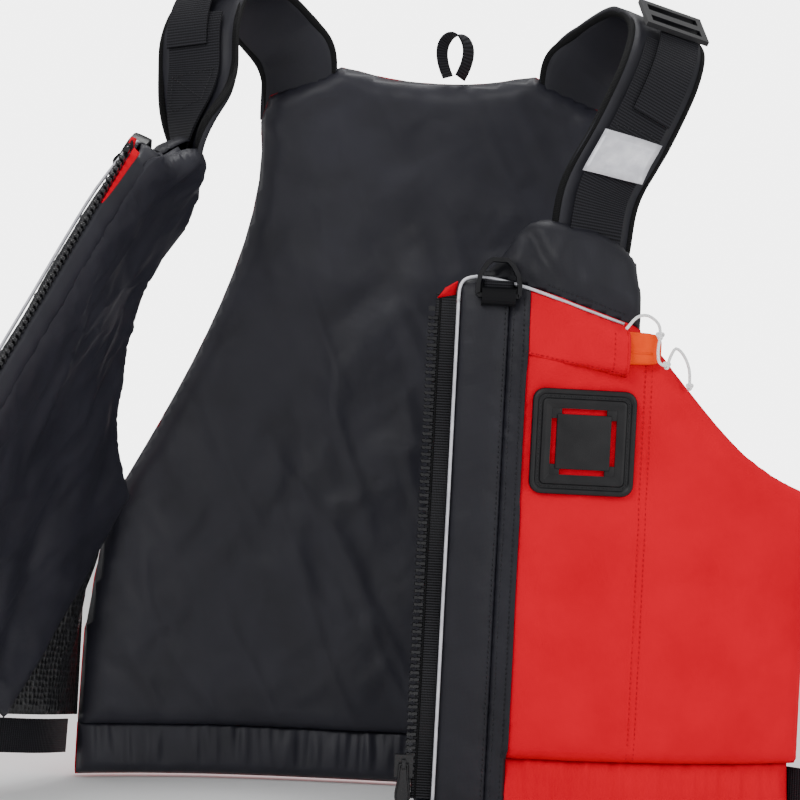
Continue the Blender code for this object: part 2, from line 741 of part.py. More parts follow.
def make_whistle(pivot, seen_from, place):
    matrix = whistle_matrix(place)
    body = prism(rounded_rectangle(WHISTLE_LENGTH, WHISTLE_HEIGHT, 0.008, 5),
                 -WHISTLE_THICKNESS / 2, WHISTLE_THICKNESS / 2)
    bmesh.ops.transform(body, verts=body.verts[:], matrix=matrix.to_3x3().to_4x4())
    add_piece("whistle", body, "orange_plastic", pivot, seen_from + matrix.translation)


# The cord's route as (across, up, lift): out of the pocket's corner, over the whistle,
# down its end and out over the armhole edge
CORD_ROUTE = [
    (0.1370, 0.3490, 0.0153), (0.1440, 0.3572, 0.0148), (0.1520, 0.3590, 0.0135),
    (0.1595, 0.3540, 0.0128), (0.1610, 0.3460, 0.0130), (0.1600, 0.3360, 0.0130),
    (0.1615, 0.3280, 0.0124), (0.1670, 0.3265, 0.0110), (0.1700, 0.3330, 0.0096),
    (0.1740, 0.3385, 0.0080), (0.1800, 0.3345, 0.0065), (0.1850, 0.3250, 0.0050),
    (0.1865, 0.3130, 0.0036),
]


def make_whistle_cord(pivot, seen_from, place):
    route = [place(*point) for point in CORD_ROUTE]
    add_cord("whistle_cord", through(route, 3), CORD_RADIUS, "white_cord", pivot, seen_from)


# ---- zip slider and its pull, on the left front

def make_slider(pivot, seen_from):
    """Two plates round the chains, joined by the wedge between them, with a lug for the pull."""
    zip_y = -FRONT_DEPTH - ZIP_LIFT
    centre = Vector((0.0, zip_y, SLIDER_UP))
    inner, outer, half = 0.0021, 0.0036, 0.0065
    wedge = 0.0005
    channels = [(wedge, -inner, half, inner), (-half, -inner, -wedge, inner)]
    body = slotted_plate(2 * half, 2 * outer, 2 * SLIDER_HALF, channels)
    bmesh.ops.rotate(body, verts=body.verts[:], matrix=Matrix.Rotation(math.pi / 2, 3, "X"))
    add_piece("zip_slider", body, "zip_plastic", pivot, seen_from + centre)
    arch = sleeve((0.0042, 0.0070), (0.0028, 0.0028), 0.0024, (0.0, 0.0))
    bmesh.ops.translate(arch, verts=arch.verts[:], vec=PULL_AXIS)
    add_piece("zip_slider_arch", arch, "zip_plastic", pivot, seen_from + centre)
    return centre


def make_pull(pivot, seen_from, centre):
    """Pull tab whose top bar turns inside the slider's arch, and which hangs from it."""
    bar_half, window = 0.0007, 0.0053
    top = PULL_LENGTH / 2 - 2 * bar_half
    pull = slotted_plate(0.0090, PULL_LENGTH, 2 * bar_half, [(-0.0016, top - window, 0.0016, top)])
    bmesh.ops.translate(pull, verts=pull.verts[:], vec=(0.0, 0.0, bar_half - PULL_LENGTH / 2))
    bar = add_empty("pull_pivot", seen_from + centre + Vector(PULL_AXIS), pivot)
    add_piece("zip_pull", pull, "zip_plastic", bar)


# ---- back

def make_back():
    add_piece("back_outer_panel", sheet(back_outline(), PLACE_BACK, -CLOTH, 0.0), "red_nylon")
    lining = sheet(back_outline(), PLACE_BACK, LINING_IN, LINING_OUT)
    add_piece("back_lining", lining, "charcoal_lining")
    lower = back_outline(FOAM_INSET, BACK_HEM_SEAM, 0.262)
    upper = back_outline(FOAM_INSET, 0.268, BACK_TOP)
    add_piece("back_foam_lower", sheet(lower, PLACE_BACK, FOAM_IN, FOAM_OUT), "foam")
    add_piece("back_foam_upper", sheet(upper, PLACE_BACK, FOAM_IN, FOAM_OUT), "foam")
    hem = rectangle(-BACK_HALF_WIDTH, 0.0, BACK_HALF_WIDTH, BACK_HEM_SEAM - SEAM_GAP)
    add_piece("back_hem_elastic", sheet(hem, PLACE_BACK, HEM_IN, HEM_OUT), "webbing")


def make_hang_loop():
    """Folded webbing teardrop that stands on the back's neck edge."""
    foot = PLACE_BACK(0.012, NECK + 0.0052, -0.013)
    outer = bezier((-0.0050, 0.0), (-0.0270, 0.044), (0.0270, 0.044), (0.0050, 0.0), 10)
    inner = bezier((-0.0030, 0.001), (-0.0240, 0.0412), (0.0240, 0.0412), (0.0030, 0.001), 10)
    half = LOOP_WIDTH / 2
    bm = bmesh.new()
    rows = [[bm.verts.new((x, y, z)) for x, z in line]
            for line, y in ((outer, -half), (outer, half), (inner, half), (inner, -half))]
    for row, following in zip(rows, rows[1:] + rows[:1]):
        for k in range(len(row) - 1):
            bm.faces.new((row[k], row[k + 1], following[k + 1], following[k]))
    bm.faces.new([row[0] for row in rows])
    bm.faces.new([row[-1] for row in rows][::-1])
    add_piece("hang_loop", face_outwards(bm), "webbing", None, foot)


# ---- sides: mesh panel and waist strap between the back and each front

SIDE_CLEAR = 0.004


def side_rail(side, opened, lift, up):
    """The front's side edge at one height, with the front as it stands."""
    point, lean = hinge_line(side)
    turn = Matrix.Rotation(math.radians(side * opened), 3, lean)
    return point + turn @ (PLACE_FRONT[side](HALF_WIDTH + SIDE_CLEAR, up, lift) - point)


def back_rail(side, lift, up):
    edge = PLACE_BACK(BACK_HALF_WIDTH + SIDE_CLEAR, up, lift)
    return Vector((side * edge.x, edge.y, edge.z))


def side_path(side, opened, lift, up_front, up_back, steps, bulge):
    """Points from the back's edge to the front's edge, bowed outwards."""
    start, end = back_rail(side, lift, up_back), side_rail(side, opened, lift, up_front)
    run = end - start
    out = Vector((-run.y, run.x, 0)) * (-side)
    out = out.normalized() if out.length > 1e-6 else Vector((side, 0, 0))
    return [start + run * t + out * bulge * math.sin(math.pi * t)
            for t in (k / steps for k in range(steps + 1))]


def make_side(side, opened):
    name = SIDE_NAME[side]
    rows = []
    for front_up, back_up in ((0.050, 0.046), (0.110, 0.100), (0.170, 0.150), (0.226, 0.190)):
        rows.append(side_path(side, opened, -0.012, front_up, back_up, 5, 0.006))
    bm = bmesh.new()
    wide = len(rows[0])
    thick = 0.0008
    faces = []
    for sign in (-1, 1):
        shift = Vector((side * sign * thick, 0, 0))
        faces.append([[bm.verts.new(p + shift) for p in row] for row in rows])
    near, far = faces
    for j in range(len(rows) - 1):
        for k in range(wide - 1):
            bm.faces.new((near[j][k], near[j][k + 1], near[j + 1][k + 1], near[j + 1][k]))
            bm.faces.new((far[j][k], far[j + 1][k], far[j + 1][k + 1], far[j][k + 1]))
    border = ([(0, k) for k in range(wide)] + [(j, wide - 1) for j in range(1, len(rows))]
              + [(len(rows) - 1, k) for k in reversed(range(wide - 1))]
              + [(j, 0) for j in reversed(range(1, len(rows) - 1))])
    for (j0, k0), (j1, k1) in zip(border, border[1:] + border[:1]):
        bm.faces.new((near[j0][k0], near[j1][k1], far[j1][k1], far[j0][k0]))
    add_piece("side_mesh_" + name, face_outwards(bm), "mesh_fabric")
    strap = side_path(side, opened, 0.004, 0.030, 0.028, 6, 0.010)
    up = [Vector((0, 0, 1))] * len(strap)
    add_piece("side_strap_" + name, strip(strap, up, SIDE_WEBBING, WEBBING_THICKNESS), "webbing")


# ---- shoulders: padded strap, webbing, adjuster and reflective patch

SHOULDER_ROUTE = {
    LEFT: [(0.106, 0.068, 0.542), (0.124, 0.059, 0.562), (0.150, 0.034, 0.578),
           (0.164, 0.004, 0.568), (0.159, -0.022, 0.538), (0.140, -0.038, 0.492),
           (0.119, -0.046, 0.449)],
    RIGHT: [(-0.106, 0.068, 0.542), (-0.122, 0.060, 0.564), (-0.146, 0.036, 0.582),
            (-0.166, 0.004, 0.578), (-0.174, -0.020, 0.552), (-0.172, -0.034, 0.516)],
}
WEBBING_START = {LEFT: 11, RIGHT: 10}     # counted along the smooth shoulder route


def shoulder_frame(side):
    """Centre line of the padded strap, the strap's width direction and its outward way."""
    path = through(SHOULDER_ROUTE[side], 3)
    count = len(path)
    start = Vector((side * 0.9, 0.15, -0.42)).normalized()
    end = Vector((side * 0.94, 0.25, -0.15)).normalized()
    across = [start.lerp(end, k / (count - 1)).normalized() for k in range(count)]
    outward = []
    for k in range(count):
        ahead = path[min(k + 1, count - 1)] - path[max(k - 1, 0)]
        outward.append(side * ahead.cross(across[k]).normalized())
    return path, across, outward


def make_shoulder(side):
    name = SIDE_NAME[side]
    path, across, outward = shoulder_frame(side)
    pad = strip(path, across, PAD_WIDTH, PAD_THICKNESS)
    add_piece("shoulder_pad_" + name, pad, "black_nylon")
    first = WEBBING_START[side]
    rise = PAD_THICKNESS / 2 + WEBBING_THICKNESS / 2 + STRAP_GAP
    band = [p + o * rise for p, o in zip(path, outward)][first:]
    webbing = strip(band, across[first:], SHOULDER_WEBBING, WEBBING_THICKNESS)
    add_piece("shoulder_webbing_" + name, webbing, "webbing")
    if side == LEFT:
        patch = [p + o * (rise + 0.0026) for p, o in zip(path, outward)][14:17]
        strip_mesh = strip(patch, across[14:17], SHOULDER_WEBBING + 0.010, 0.0012)
        add_piece("reflective_patch_" + name, strip_mesh, "reflective")
    make_adjuster(side, path, across, outward, rise)


def make_adjuster(side, path, across, outward, rise):
    """Three-bar slider that tilts about its lower bar."""
    spot = WEBBING_START[side] - 2
    ahead = (path[spot - 1] - path[spot + 1]).normalized()
    wide = (across[spot] - ahead * across[spot].dot(ahead)).normalized()
    out = wide.cross(ahead).normalized()
    if out.dot(outward[spot]) < 0:
        wide, out = -wide, -out
    matrix = Matrix((wide, -out, ahead)).transposed()
    half = SHOULDER_WEBBING / 2 + 0.001
    slots = [(-half, 0.0040, half, 0.0125), (-half, -0.0125, half, -0.0040)]
    plate = slotted_plate(ADJUSTER_WIDTH, ADJUSTER_HEIGHT, 0.0036, slots)
    bmesh.ops.translate(plate, verts=plate.verts[:], vec=(0.0, 0.0, ADJUSTER_HEIGHT / 2))
    bmesh.ops.transform(plate, verts=plate.verts[:], matrix=matrix.to_4x4())
    foot = path[spot] + out * (rise + 0.0045) - ahead * (ADJUSTER_HEIGHT / 2)
    add_piece("shoulder_adjuster_" + SIDE_NAME[side], plate, "black_plastic", None, foot)


def centre_on_origin():
    """Slide the whole vest until the origin is under the middle of its box."""
    bpy.context.view_layer.update()
    graph = bpy.context.evaluated_depsgraph_get()
    points = []
    for piece in bpy.context.scene.objects:
        if piece.type == "EMPTY" or piece.hide_render:
            continue
        evaluated = piece.evaluated_get(graph)
        mesh = evaluated.to_mesh()
        points += [evaluated.matrix_world @ vertex.co for vertex in mesh.vertices]
        evaluated.to_mesh_clear()
    middle_x = (min(p.x for p in points) + max(p.x for p in points)) / 2
    middle_y = (min(p.y for p in points) + max(p.y for p in points)) / 2
    for piece in bpy.context.scene.objects:
        if piece.parent is None:
            piece.location -= Vector((middle_x, middle_y, 0.0))


def main():
    for thing in list(bpy.data.objects):
        bpy.data.objects.remove(thing, do_unlink=True)
    make_back()
    make_hang_loop()
    pivot, seen_from, place = make_front(LEFT, 0.0)
    make_whistle_pocket(pivot, seen_from, place)
    make_whistle(pivot, seen_from, place)
    make_whistle_cord(pivot, seen_from, place)
    centre = make_slider(pivot, seen_from)
    make_pull(pivot, seen_from, centre)
    make_front(RIGHT, OPEN_ANGLE)
    make_side(LEFT, 0.0)
    make_side(RIGHT, OPEN_ANGLE)
    make_shoulder(LEFT)
    make_shoulder(RIGHT)
    centre_on_origin()


main()
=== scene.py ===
"""Looks of the front-zip buoyancy vest: crowned panels, gathered hems, webbing, zip and fittings.

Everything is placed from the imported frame. Panels are drawn on two curved surfaces, the front
and the back: "across" is the distance from the centre line, "up" the height above the ground and
"lift" the way out of the body. A front is drawn closed, and then turned as its body stands.
"""

import json
import math

import bmesh
import bpy
from mathutils import Matrix, Vector, noise


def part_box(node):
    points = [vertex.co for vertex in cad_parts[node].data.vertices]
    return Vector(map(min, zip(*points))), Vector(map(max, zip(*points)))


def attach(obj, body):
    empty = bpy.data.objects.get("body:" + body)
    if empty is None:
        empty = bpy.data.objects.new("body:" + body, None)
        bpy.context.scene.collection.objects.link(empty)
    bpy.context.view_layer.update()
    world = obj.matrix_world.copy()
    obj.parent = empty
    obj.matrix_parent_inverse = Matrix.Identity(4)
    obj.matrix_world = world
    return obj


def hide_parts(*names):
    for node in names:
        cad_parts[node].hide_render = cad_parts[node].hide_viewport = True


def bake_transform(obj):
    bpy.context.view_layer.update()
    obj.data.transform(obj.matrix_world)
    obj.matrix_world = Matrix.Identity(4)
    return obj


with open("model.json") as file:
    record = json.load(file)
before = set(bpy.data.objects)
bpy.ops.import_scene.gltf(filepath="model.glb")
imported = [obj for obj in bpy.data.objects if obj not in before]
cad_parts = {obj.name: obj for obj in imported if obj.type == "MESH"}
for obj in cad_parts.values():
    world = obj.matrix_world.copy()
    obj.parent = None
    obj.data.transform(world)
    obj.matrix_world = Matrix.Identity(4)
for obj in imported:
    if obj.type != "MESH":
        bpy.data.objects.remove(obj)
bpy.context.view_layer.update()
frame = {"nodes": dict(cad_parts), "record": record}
JOINTS = {joint["name"]: joint for joint in frame["record"]["behaviour"]["joints"]}

LEFT, RIGHT = 1, -1
SIDE_NAME = {LEFT: "left", RIGHT: "right"}

# ---- driving dimensions in metres, the same as the frame's
HALF_WIDTH = 0.285          # from the centre line to a front's side edge
BACK_HALF_WIDTH = 0.250
FRONT_DEPTH = 0.080         # the surfaces' distances from the vest's middle, at the centre line
BACK_DEPTH = 0.105
SIDE_SWEEP = 0.060          # how far a front sweeps back at its side
FRONT_TOP = 0.384           # heights: the chest's top beside the zip
CHEST_SHOULDER = 0.352      # where chest, yoke and armhole meet
ARMHOLE_BOTTOM = 0.242
YOKE_TOP = 0.428
NECK = 0.5365
FRONT_HEM_SEAM = 0.046
BACK_HEM_SEAM = 0.040
PANEL_EDGE = 0.0195         # across: where a front's cloth starts beside the zip
BAND_END = 0.0575
PLACKET_END = 0.0700
MIDDLE = -0.0125            # lift of the middle of a panel
HALF_THICK = 0.0125
ZIP_LIFT = -0.008
CLOTH = 0.0009
PIPING_RADIUS = 0.0012
TOOTH_PITCH = 0.0048
ZIP_BOTTOM, ZIP_TOP = 0.028, 0.356
TAPE_BOTTOM, TAPE_TOP = 0.014, 0.3695
TOOTH_BACK = 0.0082         # where the teeth's clamped ends are, across from the centre line
GUARD_END = 0.0250          # where the strip behind the teeth meets the lining
RIB_PITCH = 0.0019
POCKET_SEAM = 0.158         # the vertical seam outside the whistle pocket
TAB_CENTRE = (0.1135, 0.270)
TAB_SIZE = 0.074


def middle_of(node):
    low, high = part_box(node)
    return (low + high) / 2


# The vest's centre line on the ground, in the row frame
ORIGIN = Vector((middle_of("back_hem_elastic").x,
                 middle_of("zip_teeth_left").y + FRONT_DEPTH + ZIP_LIFT, 0.0))


def open_matrix():
    """Turns what is drawn closed on the right into the open front's place."""
    joint = JOINTS["right_front_swing"]
    point, axis = Vector(joint["pos_m"]), Vector(joint["axis"])
    turn = Matrix.Rotation(-math.radians(joint["range_deg"][1]), 4, axis)
    return Matrix.Translation(point) @ turn @ Matrix.Translation(-point)


STANDS = {LEFT: Matrix.Identity(4), RIGHT: open_matrix()}


# ---- small curves

def smooth(t):
    t = min(1.0, max(0.0, t))
    return t * t * (3 - 2 * t)


def quarter_round(t):
    """Rises from 0 to 1 as a quarter circle."""
    t = min(1.0, max(0.0, t))
    return math.sqrt(max(0.0, 1 - (1 - t) ** 2))


def bump_at(distance, width):
    return math.exp(-(distance / width) ** 2)


def spread(low, high, count):
    """Evenly spaced values from low to high, with count steps between them."""
    return [low + (high - low) * k / count for k in range(count + 1)]


def bezier(start, pull_start, pull_end, end, count):
    points = []
    for step in range(count + 1):
        t = step / count
        weights = ((1 - t) ** 3, 3 * t * (1 - t) ** 2, 3 * t * t * (1 - t), t ** 3)
        corners = (start, pull_start, pull_end, end)
        points.append(tuple(sum(w * c[k] for w, c in zip(weights, corners))
                            for k in range(len(start))))
    return points


def through(route, per_span):
    """Points on a smooth curve that passes through every point of a route."""
    ends = [2 * Vector(route[0]) - Vector(route[1]), 2 * Vector(route[-1]) - Vector(route[-2])]
    points = [ends[0]] + [Vector(p) for p in route] + [ends[1]]
    curve = []
    for before, a, b, after in zip(points, points[1:], points[2:], points[3:]):
        for step in range(per_span):
            t = step / per_span
            curve.append(0.5 * (2 * a + (b - before) * t
                                + (2 * before - 5 * a + 4 * b - after) * t ** 2
                                + (3 * a - before - 3 * b + after) * t ** 3))
    curve.append(points[-2])
    return curve


def gap_to(point, line):
    """Distance from a point to a line of points."""
    best = 1.0
    x, y = point
    for (ax, ay), (bx, by) in zip(line, line[1:]):
        dx, dy = bx - ax, by - ay
        along = ((x - ax) * dx + (y - ay) * dy) / max(dx * dx + dy * dy, 1e-12)
        along = min(1.0, max(0.0, along))
        best = min(best, math.hypot(x - ax - along * dx, y - ay - along * dy))
    return best


def height_on(curve, across):
    """Height of a curve, a row of points, at a distance across."""
    for (a0, b0), (a1, b1) in zip(curve, curve[1:]):
        if a0 <= across <= a1 and a1 > a0:
            return b0 + (b1 - b0) * (across - a0) / (a1 - a0)
    return curve[-1][1]


def nearest(path, point):
    """Which point of a path is nearest."""
    return min(range(len(path)), key=lambda k: (path[k] - point).length)


def even(line, pitch):
    """The same line of points, walked in equal steps."""
    line = [Vector(p) for p in line]
    result, left = [line[0]], pitch
    for a, b in zip(line, line[1:]):
        run, done = (b - a).length, 0.0
        while run - done >= left:
            done += left
            result.append(a.lerp(b, done / run))
            left = pitch
        left -= run - done
    return result


# ---- surfaces

def front_surface(across, up):
    lean = 1.5 * max(0.0, up - 0.310) ** 2
    return -FRONT_DEPTH + SIDE_SWEEP * (abs(across) / HALF_WIDTH) ** 3 + lean


def back_surface(across, up):
    lean = 0.9 * max(0.0, up - 0.380) ** 2
    return BACK_DEPTH - 0.045 * (abs(across) / BACK_HALF_WIDTH) ** 3 - lean


def placer(surface, facing, side, stands):
    """Return place(across, up, lift), which gives a point in the row frame."""
    def place(across, up, lift):
        step = 0.001
        slope_a = (surface(across + step, up) - surface(across - step, up)) / (2 * step)
        slope_b = (surface(across, up + step) - surface(across, up - step)) / (2 * step)
        out = Vector((-facing * slope_a, facing, -facing * slope_b)).normalized()
        point = Vector((across, surface(across, up), up)) + lift * out
        return stands @ (Vector((side * point.x, point.y, point.z)) + ORIGIN)
    return place


def outward(place, across, up):
    """The way out of a surface at one point."""
    return (place(across, up, 0.01) - place(across, up, 0.0)).normalized()


def draped(place, lift, across, up, off=0.0):
    """A point on cloth that stands out by lift(across, up), and off it by a distance."""
    return place(across, up, lift(across, up) + off)


PLACE_FRONT = {side: placer(front_surface, -1, side, STANDS[side]) for side in (LEFT, RIGHT)}
PLACE_BACK = placer(back_surface, 1, LEFT, Matrix.Identity(4))


def at_zip(side, across, up, lift=0.0):
    """A point by the zip, which lies flat below the front's outer face."""
    point = Vector((side * across, -FRONT_DEPTH - ZIP_LIFT - lift, up)) + ORIGIN
    return STANDS[side] @ point


# ---- outlines

def front_top():
    return bezier((0.030, FRONT_TOP), (0.065, FRONT_TOP), (0.100, 0.366), (0.154, CHEST_SHOULDER), 10)


def armhole():
    return bezier((0.154, CHEST_SHOULDER), (0.196, 0.310), (0.222, 0.262),
                  (HALF_WIDTH, ARMHOLE_BOTTOM), 14)


def yoke_edge():
    neck = bezier((0.034, 0.388), (0.058, 0.392), (0.054, YOKE_TOP), (0.083, YOKE_TOP), 10)
    top = bezier((0.083, YOKE_TOP), (0.105, YOKE_TOP), (0.142, 0.414), (0.148, 0.400), 6)
    return neck + top[1:] + [(0.1515, 0.376), (0.154, CHEST_SHOULDER)]


def front_corner():
    """Round corner beside the top of the zip, from the edge to the yoke seam."""
    return bezier((PANEL_EDGE, 0.362), (PANEL_EDGE, 0.378), (0.022, FRONT_TOP), (0.034, FRONT_TOP), 6)


def seam_height(across):
    """Height of the seam between chest and yoke."""
    return height_on([(PANEL_EDGE, 0.366)] + front_corner() + front_top(), across)


def chest_part(low, high, bottom=FRONT_HEM_SEAM):
    """Outline between two distances across, up to the yoke seam or the armhole."""
    edge = front_corner() + front_top()[1:] + armhole()[1:]
    inner = [p for p in edge if low + 0.0015 < p[0] < high - 0.0015]
    top = [(low, height_on(edge, low))] + inner + [(high, height_on(edge, high))]
    return [(low, bottom), (high, bottom)] + top[::-1]


def whole_front():
    """The front's free edge, from the zip's corner over the yoke and down the armhole."""
    return front_corner()[:-1] + yoke_edge() + armhole()[1:]


def lining_outline():
    return [(PANEL_EDGE, FRONT_HEM_SEAM), (HALF_WIDTH, FRONT_HEM_SEAM)] + whole_front()[::-1]


def back_half():
    hole = bezier((0.236, 0.200), (0.205, 0.262), (0.120, 0.400), (0.134, 0.500), 14)
    shoulder = [(0.128, 0.520), (0.074, 0.545)]
    neck = bezier((0.060, 0.543), (0.040, 0.538), (0.020, NECK), (0.0, NECK), 5)
    side = [(BACK_HALF_WIDTH, BACK_HEM_SEAM), (BACK_HALF_WIDTH - 0.002, 0.110)]
    return side + hole + shoulder + neck[:-1]


def back_outline():
    half = back_half()
    return half + [(0.0, NECK)] + [(-a, b) for a, b in half][::-1]


# ---- how far the cloth stands out

def wrinkles(across, up, seed, size, stretch=(1.0, 1.0)):
    """Soft folds, longer one way than the other."""
    point = Vector((across / (size * stretch[0]), up / (size * stretch[1]), seed))
    return noise.noise(point) + 0.5 * noise.noise(point * 2.1 + Vector((3.1, 1.7, 0.0)))


def creases(across, up, seed, size, stretch=(1.0, 1.0)):
    """Narrow ridges between wide flats, as light nylon folds."""
    value = wrinkles(across, up, seed, size, stretch)
    return 1.0 - min(1.0, abs(value) * 2.4)


FRONT_EDGE = whole_front()
YOKE_SEAM = [(a, seam_height(a)) for a in (0.030, 0.050, 0.070, 0.090, 0.110, 0.130, 0.150, 0.156)]
UPRIGHT_SEAMS = [[(across, 0.0), (across, 0.40)] for across in (BAND_END, PLACKET_END, POCKET_SEAM)]
HEM_SEAM = [(PLACKET_END, FRONT_HEM_SEAM), (0.3, FRONT_HEM_SEAM)]
CHEST_SEAMS = [YOKE_SEAM] + UPRIGHT_SEAMS + [HEM_SEAM]
# The cloth is held under the tab too, round a square and across its diagonal
TAB_SIDES = [[(TAB_CENTRE[0] + x * TAB_SIZE * 0.35, TAB_CENTRE[1] + y * TAB_SIZE * 0.35)
              for x, y in ((-1, -1), (1, -1), (1, 1), (-1, 1), (-1, -1), (1, 1))]]


def under_tab(across, up):
    """0 under the moulded tab and 1 well away from it."""
    out = max(abs(across - TAB_CENTRE[0]), abs(up - TAB_CENTRE[1])) - TAB_SIZE / 2
    return smooth(out / 0.025)


def seam_dip(point, seams, depth, pucker):
    """Cloth drawn in along its seams, with small puckers beside them."""
    dip = 0.0
    for line in seams:
        away = gap_to(point, line)
        if away < 0.030:
            along = point[0] + point[1] * 1.3
            dip -= depth * bump_at(away, 0.0035)
            dip += pucker * bump_at(away, 0.011) * noise.noise(
                Vector((along / 0.0065, away / 0.03, 4.0)))
    return dip


def front_round(across, up, zip_radius):
    """How full a front is at a point: 1 in its middle, falling as a round to its edges."""
    free = quarter_round(gap_to((across, up), FRONT_EDGE[5:]) / 0.013)
    by_zip = quarter_round((across - PANEL_EDGE + 0.001) / zip_radius)
    if across > PLACKET_END:
        hem = 0.55 + 0.45 * quarter_round((up - FRONT_HEM_SEAM) / 0.012)
    else:
        hem = quarter_round((up - 0.003) / 0.010)
    side = 0.45 + 0.55 * quarter_round((HALF_WIDTH - across) / 0.016)
    return min(free, by_zip, hem, side)


def front_outside(across, up):
    """Lift of a front's outer cloth."""
    lift = MIDDLE + HALF_THICK * front_round(across, up, 0.006)
    loose = under_tab(across, up)
    lift += seam_dip((across, up), CHEST_SEAMS, 0.0011, 0.0011)
    if across > PLACKET_END:
        edge = smooth(gap_to((across, up), FRONT_EDGE) / 0.05)
        lift += loose * edge * 0.0024
        lift += loose * 0.0016 * wrinkles(across, up, 2.0, 0.060, (1.0, 1.9))
        lift += loose * 0.0009 * creases(across + 0.3 * up, up, 5.0, 0.050, (0.7, 2.2)) ** 2
    elif across < BAND_END and up < seam_height(across):
        middle = (across - PANEL_EDGE) / (BAND_END - PANEL_EDGE)
        lift += 0.0030 * math.sin(math.pi * min(1.0, max(0.0, middle)))
        lift += 0.0008 * wrinkles(across, up, 7.0, 0.030, (1.0, 2.2))
    if up > seam_height(across) + 0.001 and across < 0.16:
        inside = smooth(gap_to((across, up), YOKE_SEAM) / 0.02)
        lift += inside * (0.0045 + 0.0026 * wrinkles(across - 0.4 * up, up, 9.0, 0.045, (0.9, 1.5)))
        fold = gap_to((across, up), [(0.070, 0.412), (0.090, 0.380)])
        lift -= 0.0040 * bump_at(fold, 0.005) * inside
    return lift


def placket_outside(across, up):
    """The placket laps over the edge of the red cloth."""
    share = (across - BAND_END) / (PLACKET_END - BAND_END)
    return front_outside(across, up) + 0.0006 + 0.0021 * smooth(share)


def front_inside(across, up):
    """Lift of a front's lining."""
    lift = MIDDLE - HALF_THICK * front_round(across, up, 0.040)
    full = smooth((across - PANEL_EDGE) / 0.04)
    lift -= 0.0022 * bump_at(across - 0.064, 0.004)
    lift -= full * 0.0026 * wrinkles(across + 0.5 * up, up, 11.0, 0.055, (0.8, 2.4))
    lift -= full * 0.0018 * creases(across - 0.3 * up, up, 13.0, 0.075, (0.6, 1.8)) ** 2
    lift -= (1 - full) * 0.0014 * wrinkles(across, up, 17.0, 0.012, (1.6, 0.8))
    return lift


BACK_EDGE = [(BACK_HALF_WIDTH, 0.0)] + back_outline() + [(-BACK_HALF_WIDTH, 0.0)]
BACK_QUILTING = [(-0.20, 0.265), (0.20, 0.265)]


def back_round(across, up):
    """How full the back is at a point, as front_round."""
    free = quarter_round(gap_to((across, up), BACK_EDGE) / 0.014)
    hem = 0.55 + 0.45 * quarter_round((up - BACK_HEM_SEAM) / 0.012)
    return min(free, hem)


def back_outside(across, up):
    """Lift of the back's red cloth, drawn in along its quilting."""
    lift = MIDDLE + HALF_THICK * back_round(across, up)
    lift += seam_dip((across, up), [BACK_QUILTING], 0.0030, 0.0010)
    full = smooth(gap_to((across, up), BACK_EDGE) / 0.05)
    return lift + full * (0.0025 + 0.0020 * wrinkles(across, up, 21.0, 0.070, (1.0, 1.6)))


def back_inside(across, up):
    """Lift of the back's lining."""
    lift = MIDDLE - HALF_THICK * back_round(across, up)
    full = smooth(gap_to((across, up), BACK_EDGE) / 0.04)
    lift -= full * 0.0030 * wrinkles(across + 0.25 * up, up, 23.0, 0.085, (0.9, 2.6))
    lift -= full * 0.0016 * creases(across + 0.5 * up, up, 27.0, 0.110, (0.5, 1.8)) ** 2
    near = bump_at(gap_to((across, up), BACK_EDGE), 0.020)
    lift -= near * 0.0012 * wrinkles(across, up, 29.0, 0.014)
    return lift


# ---- materials

def hue(red, green, blue):
    return (red, green, blue, 1.0)


def start_material(name, colour, roughness, metallic=0.0, specular=0.5):
    material = bpy.data.materials.new("look_" + name)
    material.use_nodes = True
    material.diffuse_color = colour
    shader = material.node_tree.nodes["Principled BSDF"]
    shader.inputs["Base Color"].default_value = colour
    shader.inputs["Roughness"].default_value = roughness
    shader.inputs["Metallic"].default_value = metallic
    shader.inputs["Specular IOR Level"].default_value = specular
    return material, material.node_tree, shader


def coordinates(tree, kind="UV"):
    """Coordinates in metres: along the cloth with UV, or in space with Object."""
    return tree.nodes.new("ShaderNodeTexCoord").outputs[kind]


def bands(tree, vector, pitch, direction):
    """Regular threads or ribs, one every pitch metres."""
    wave = tree.nodes.new("ShaderNodeTexWave")
    wave.bands_direction = direction
    wave.inputs["Scale"].default_value = 2 * math.pi / (20 * pitch)
    wave.inputs["Distortion"].default_value = 0.0
    tree.links.new(vector, wave.inputs["Vector"])
    return wave.outputs["Fac"]


def cloudy(tree, vector, size, detail=3.0):
    """Soft irregular patches of about one size."""
    texture = tree.nodes.new("ShaderNodeTexNoise")
    texture.inputs["Scale"].default_value = 1 / size
    texture.inputs["Detail"].default_value = detail
    tree.links.new(vector, texture.inputs["Vector"])
    return texture.outputs["Fac"]


def joined(tree, first, second, operation):
    """One factor combined with another, or with a number."""
    node = tree.nodes.new("ShaderNodeMath")
    node.operation = operation
    tree.links.new(first, node.inputs[0])
    if isinstance(second, float):
        node.inputs[1].default_value = second
    else:
        tree.links.new(second, node.inputs[1])
    return node.outputs[0]


def raise_bump(tree, shader, height, strength, distance, under=None):
    """Relief on the shader, over the relief under it when there is one."""
    bump = tree.nodes.new("ShaderNodeBump")
    bump.inputs["Strength"].default_value = strength
    bump.inputs["Distance"].default_value = distance
    tree.links.new(height, bump.inputs["Height"])
    if under is not None:
        tree.links.new(under, bump.inputs["Normal"])
    tree.links.new(bump.outputs["Normal"], shader.inputs["Normal"])
    return bump.outputs["Normal"]


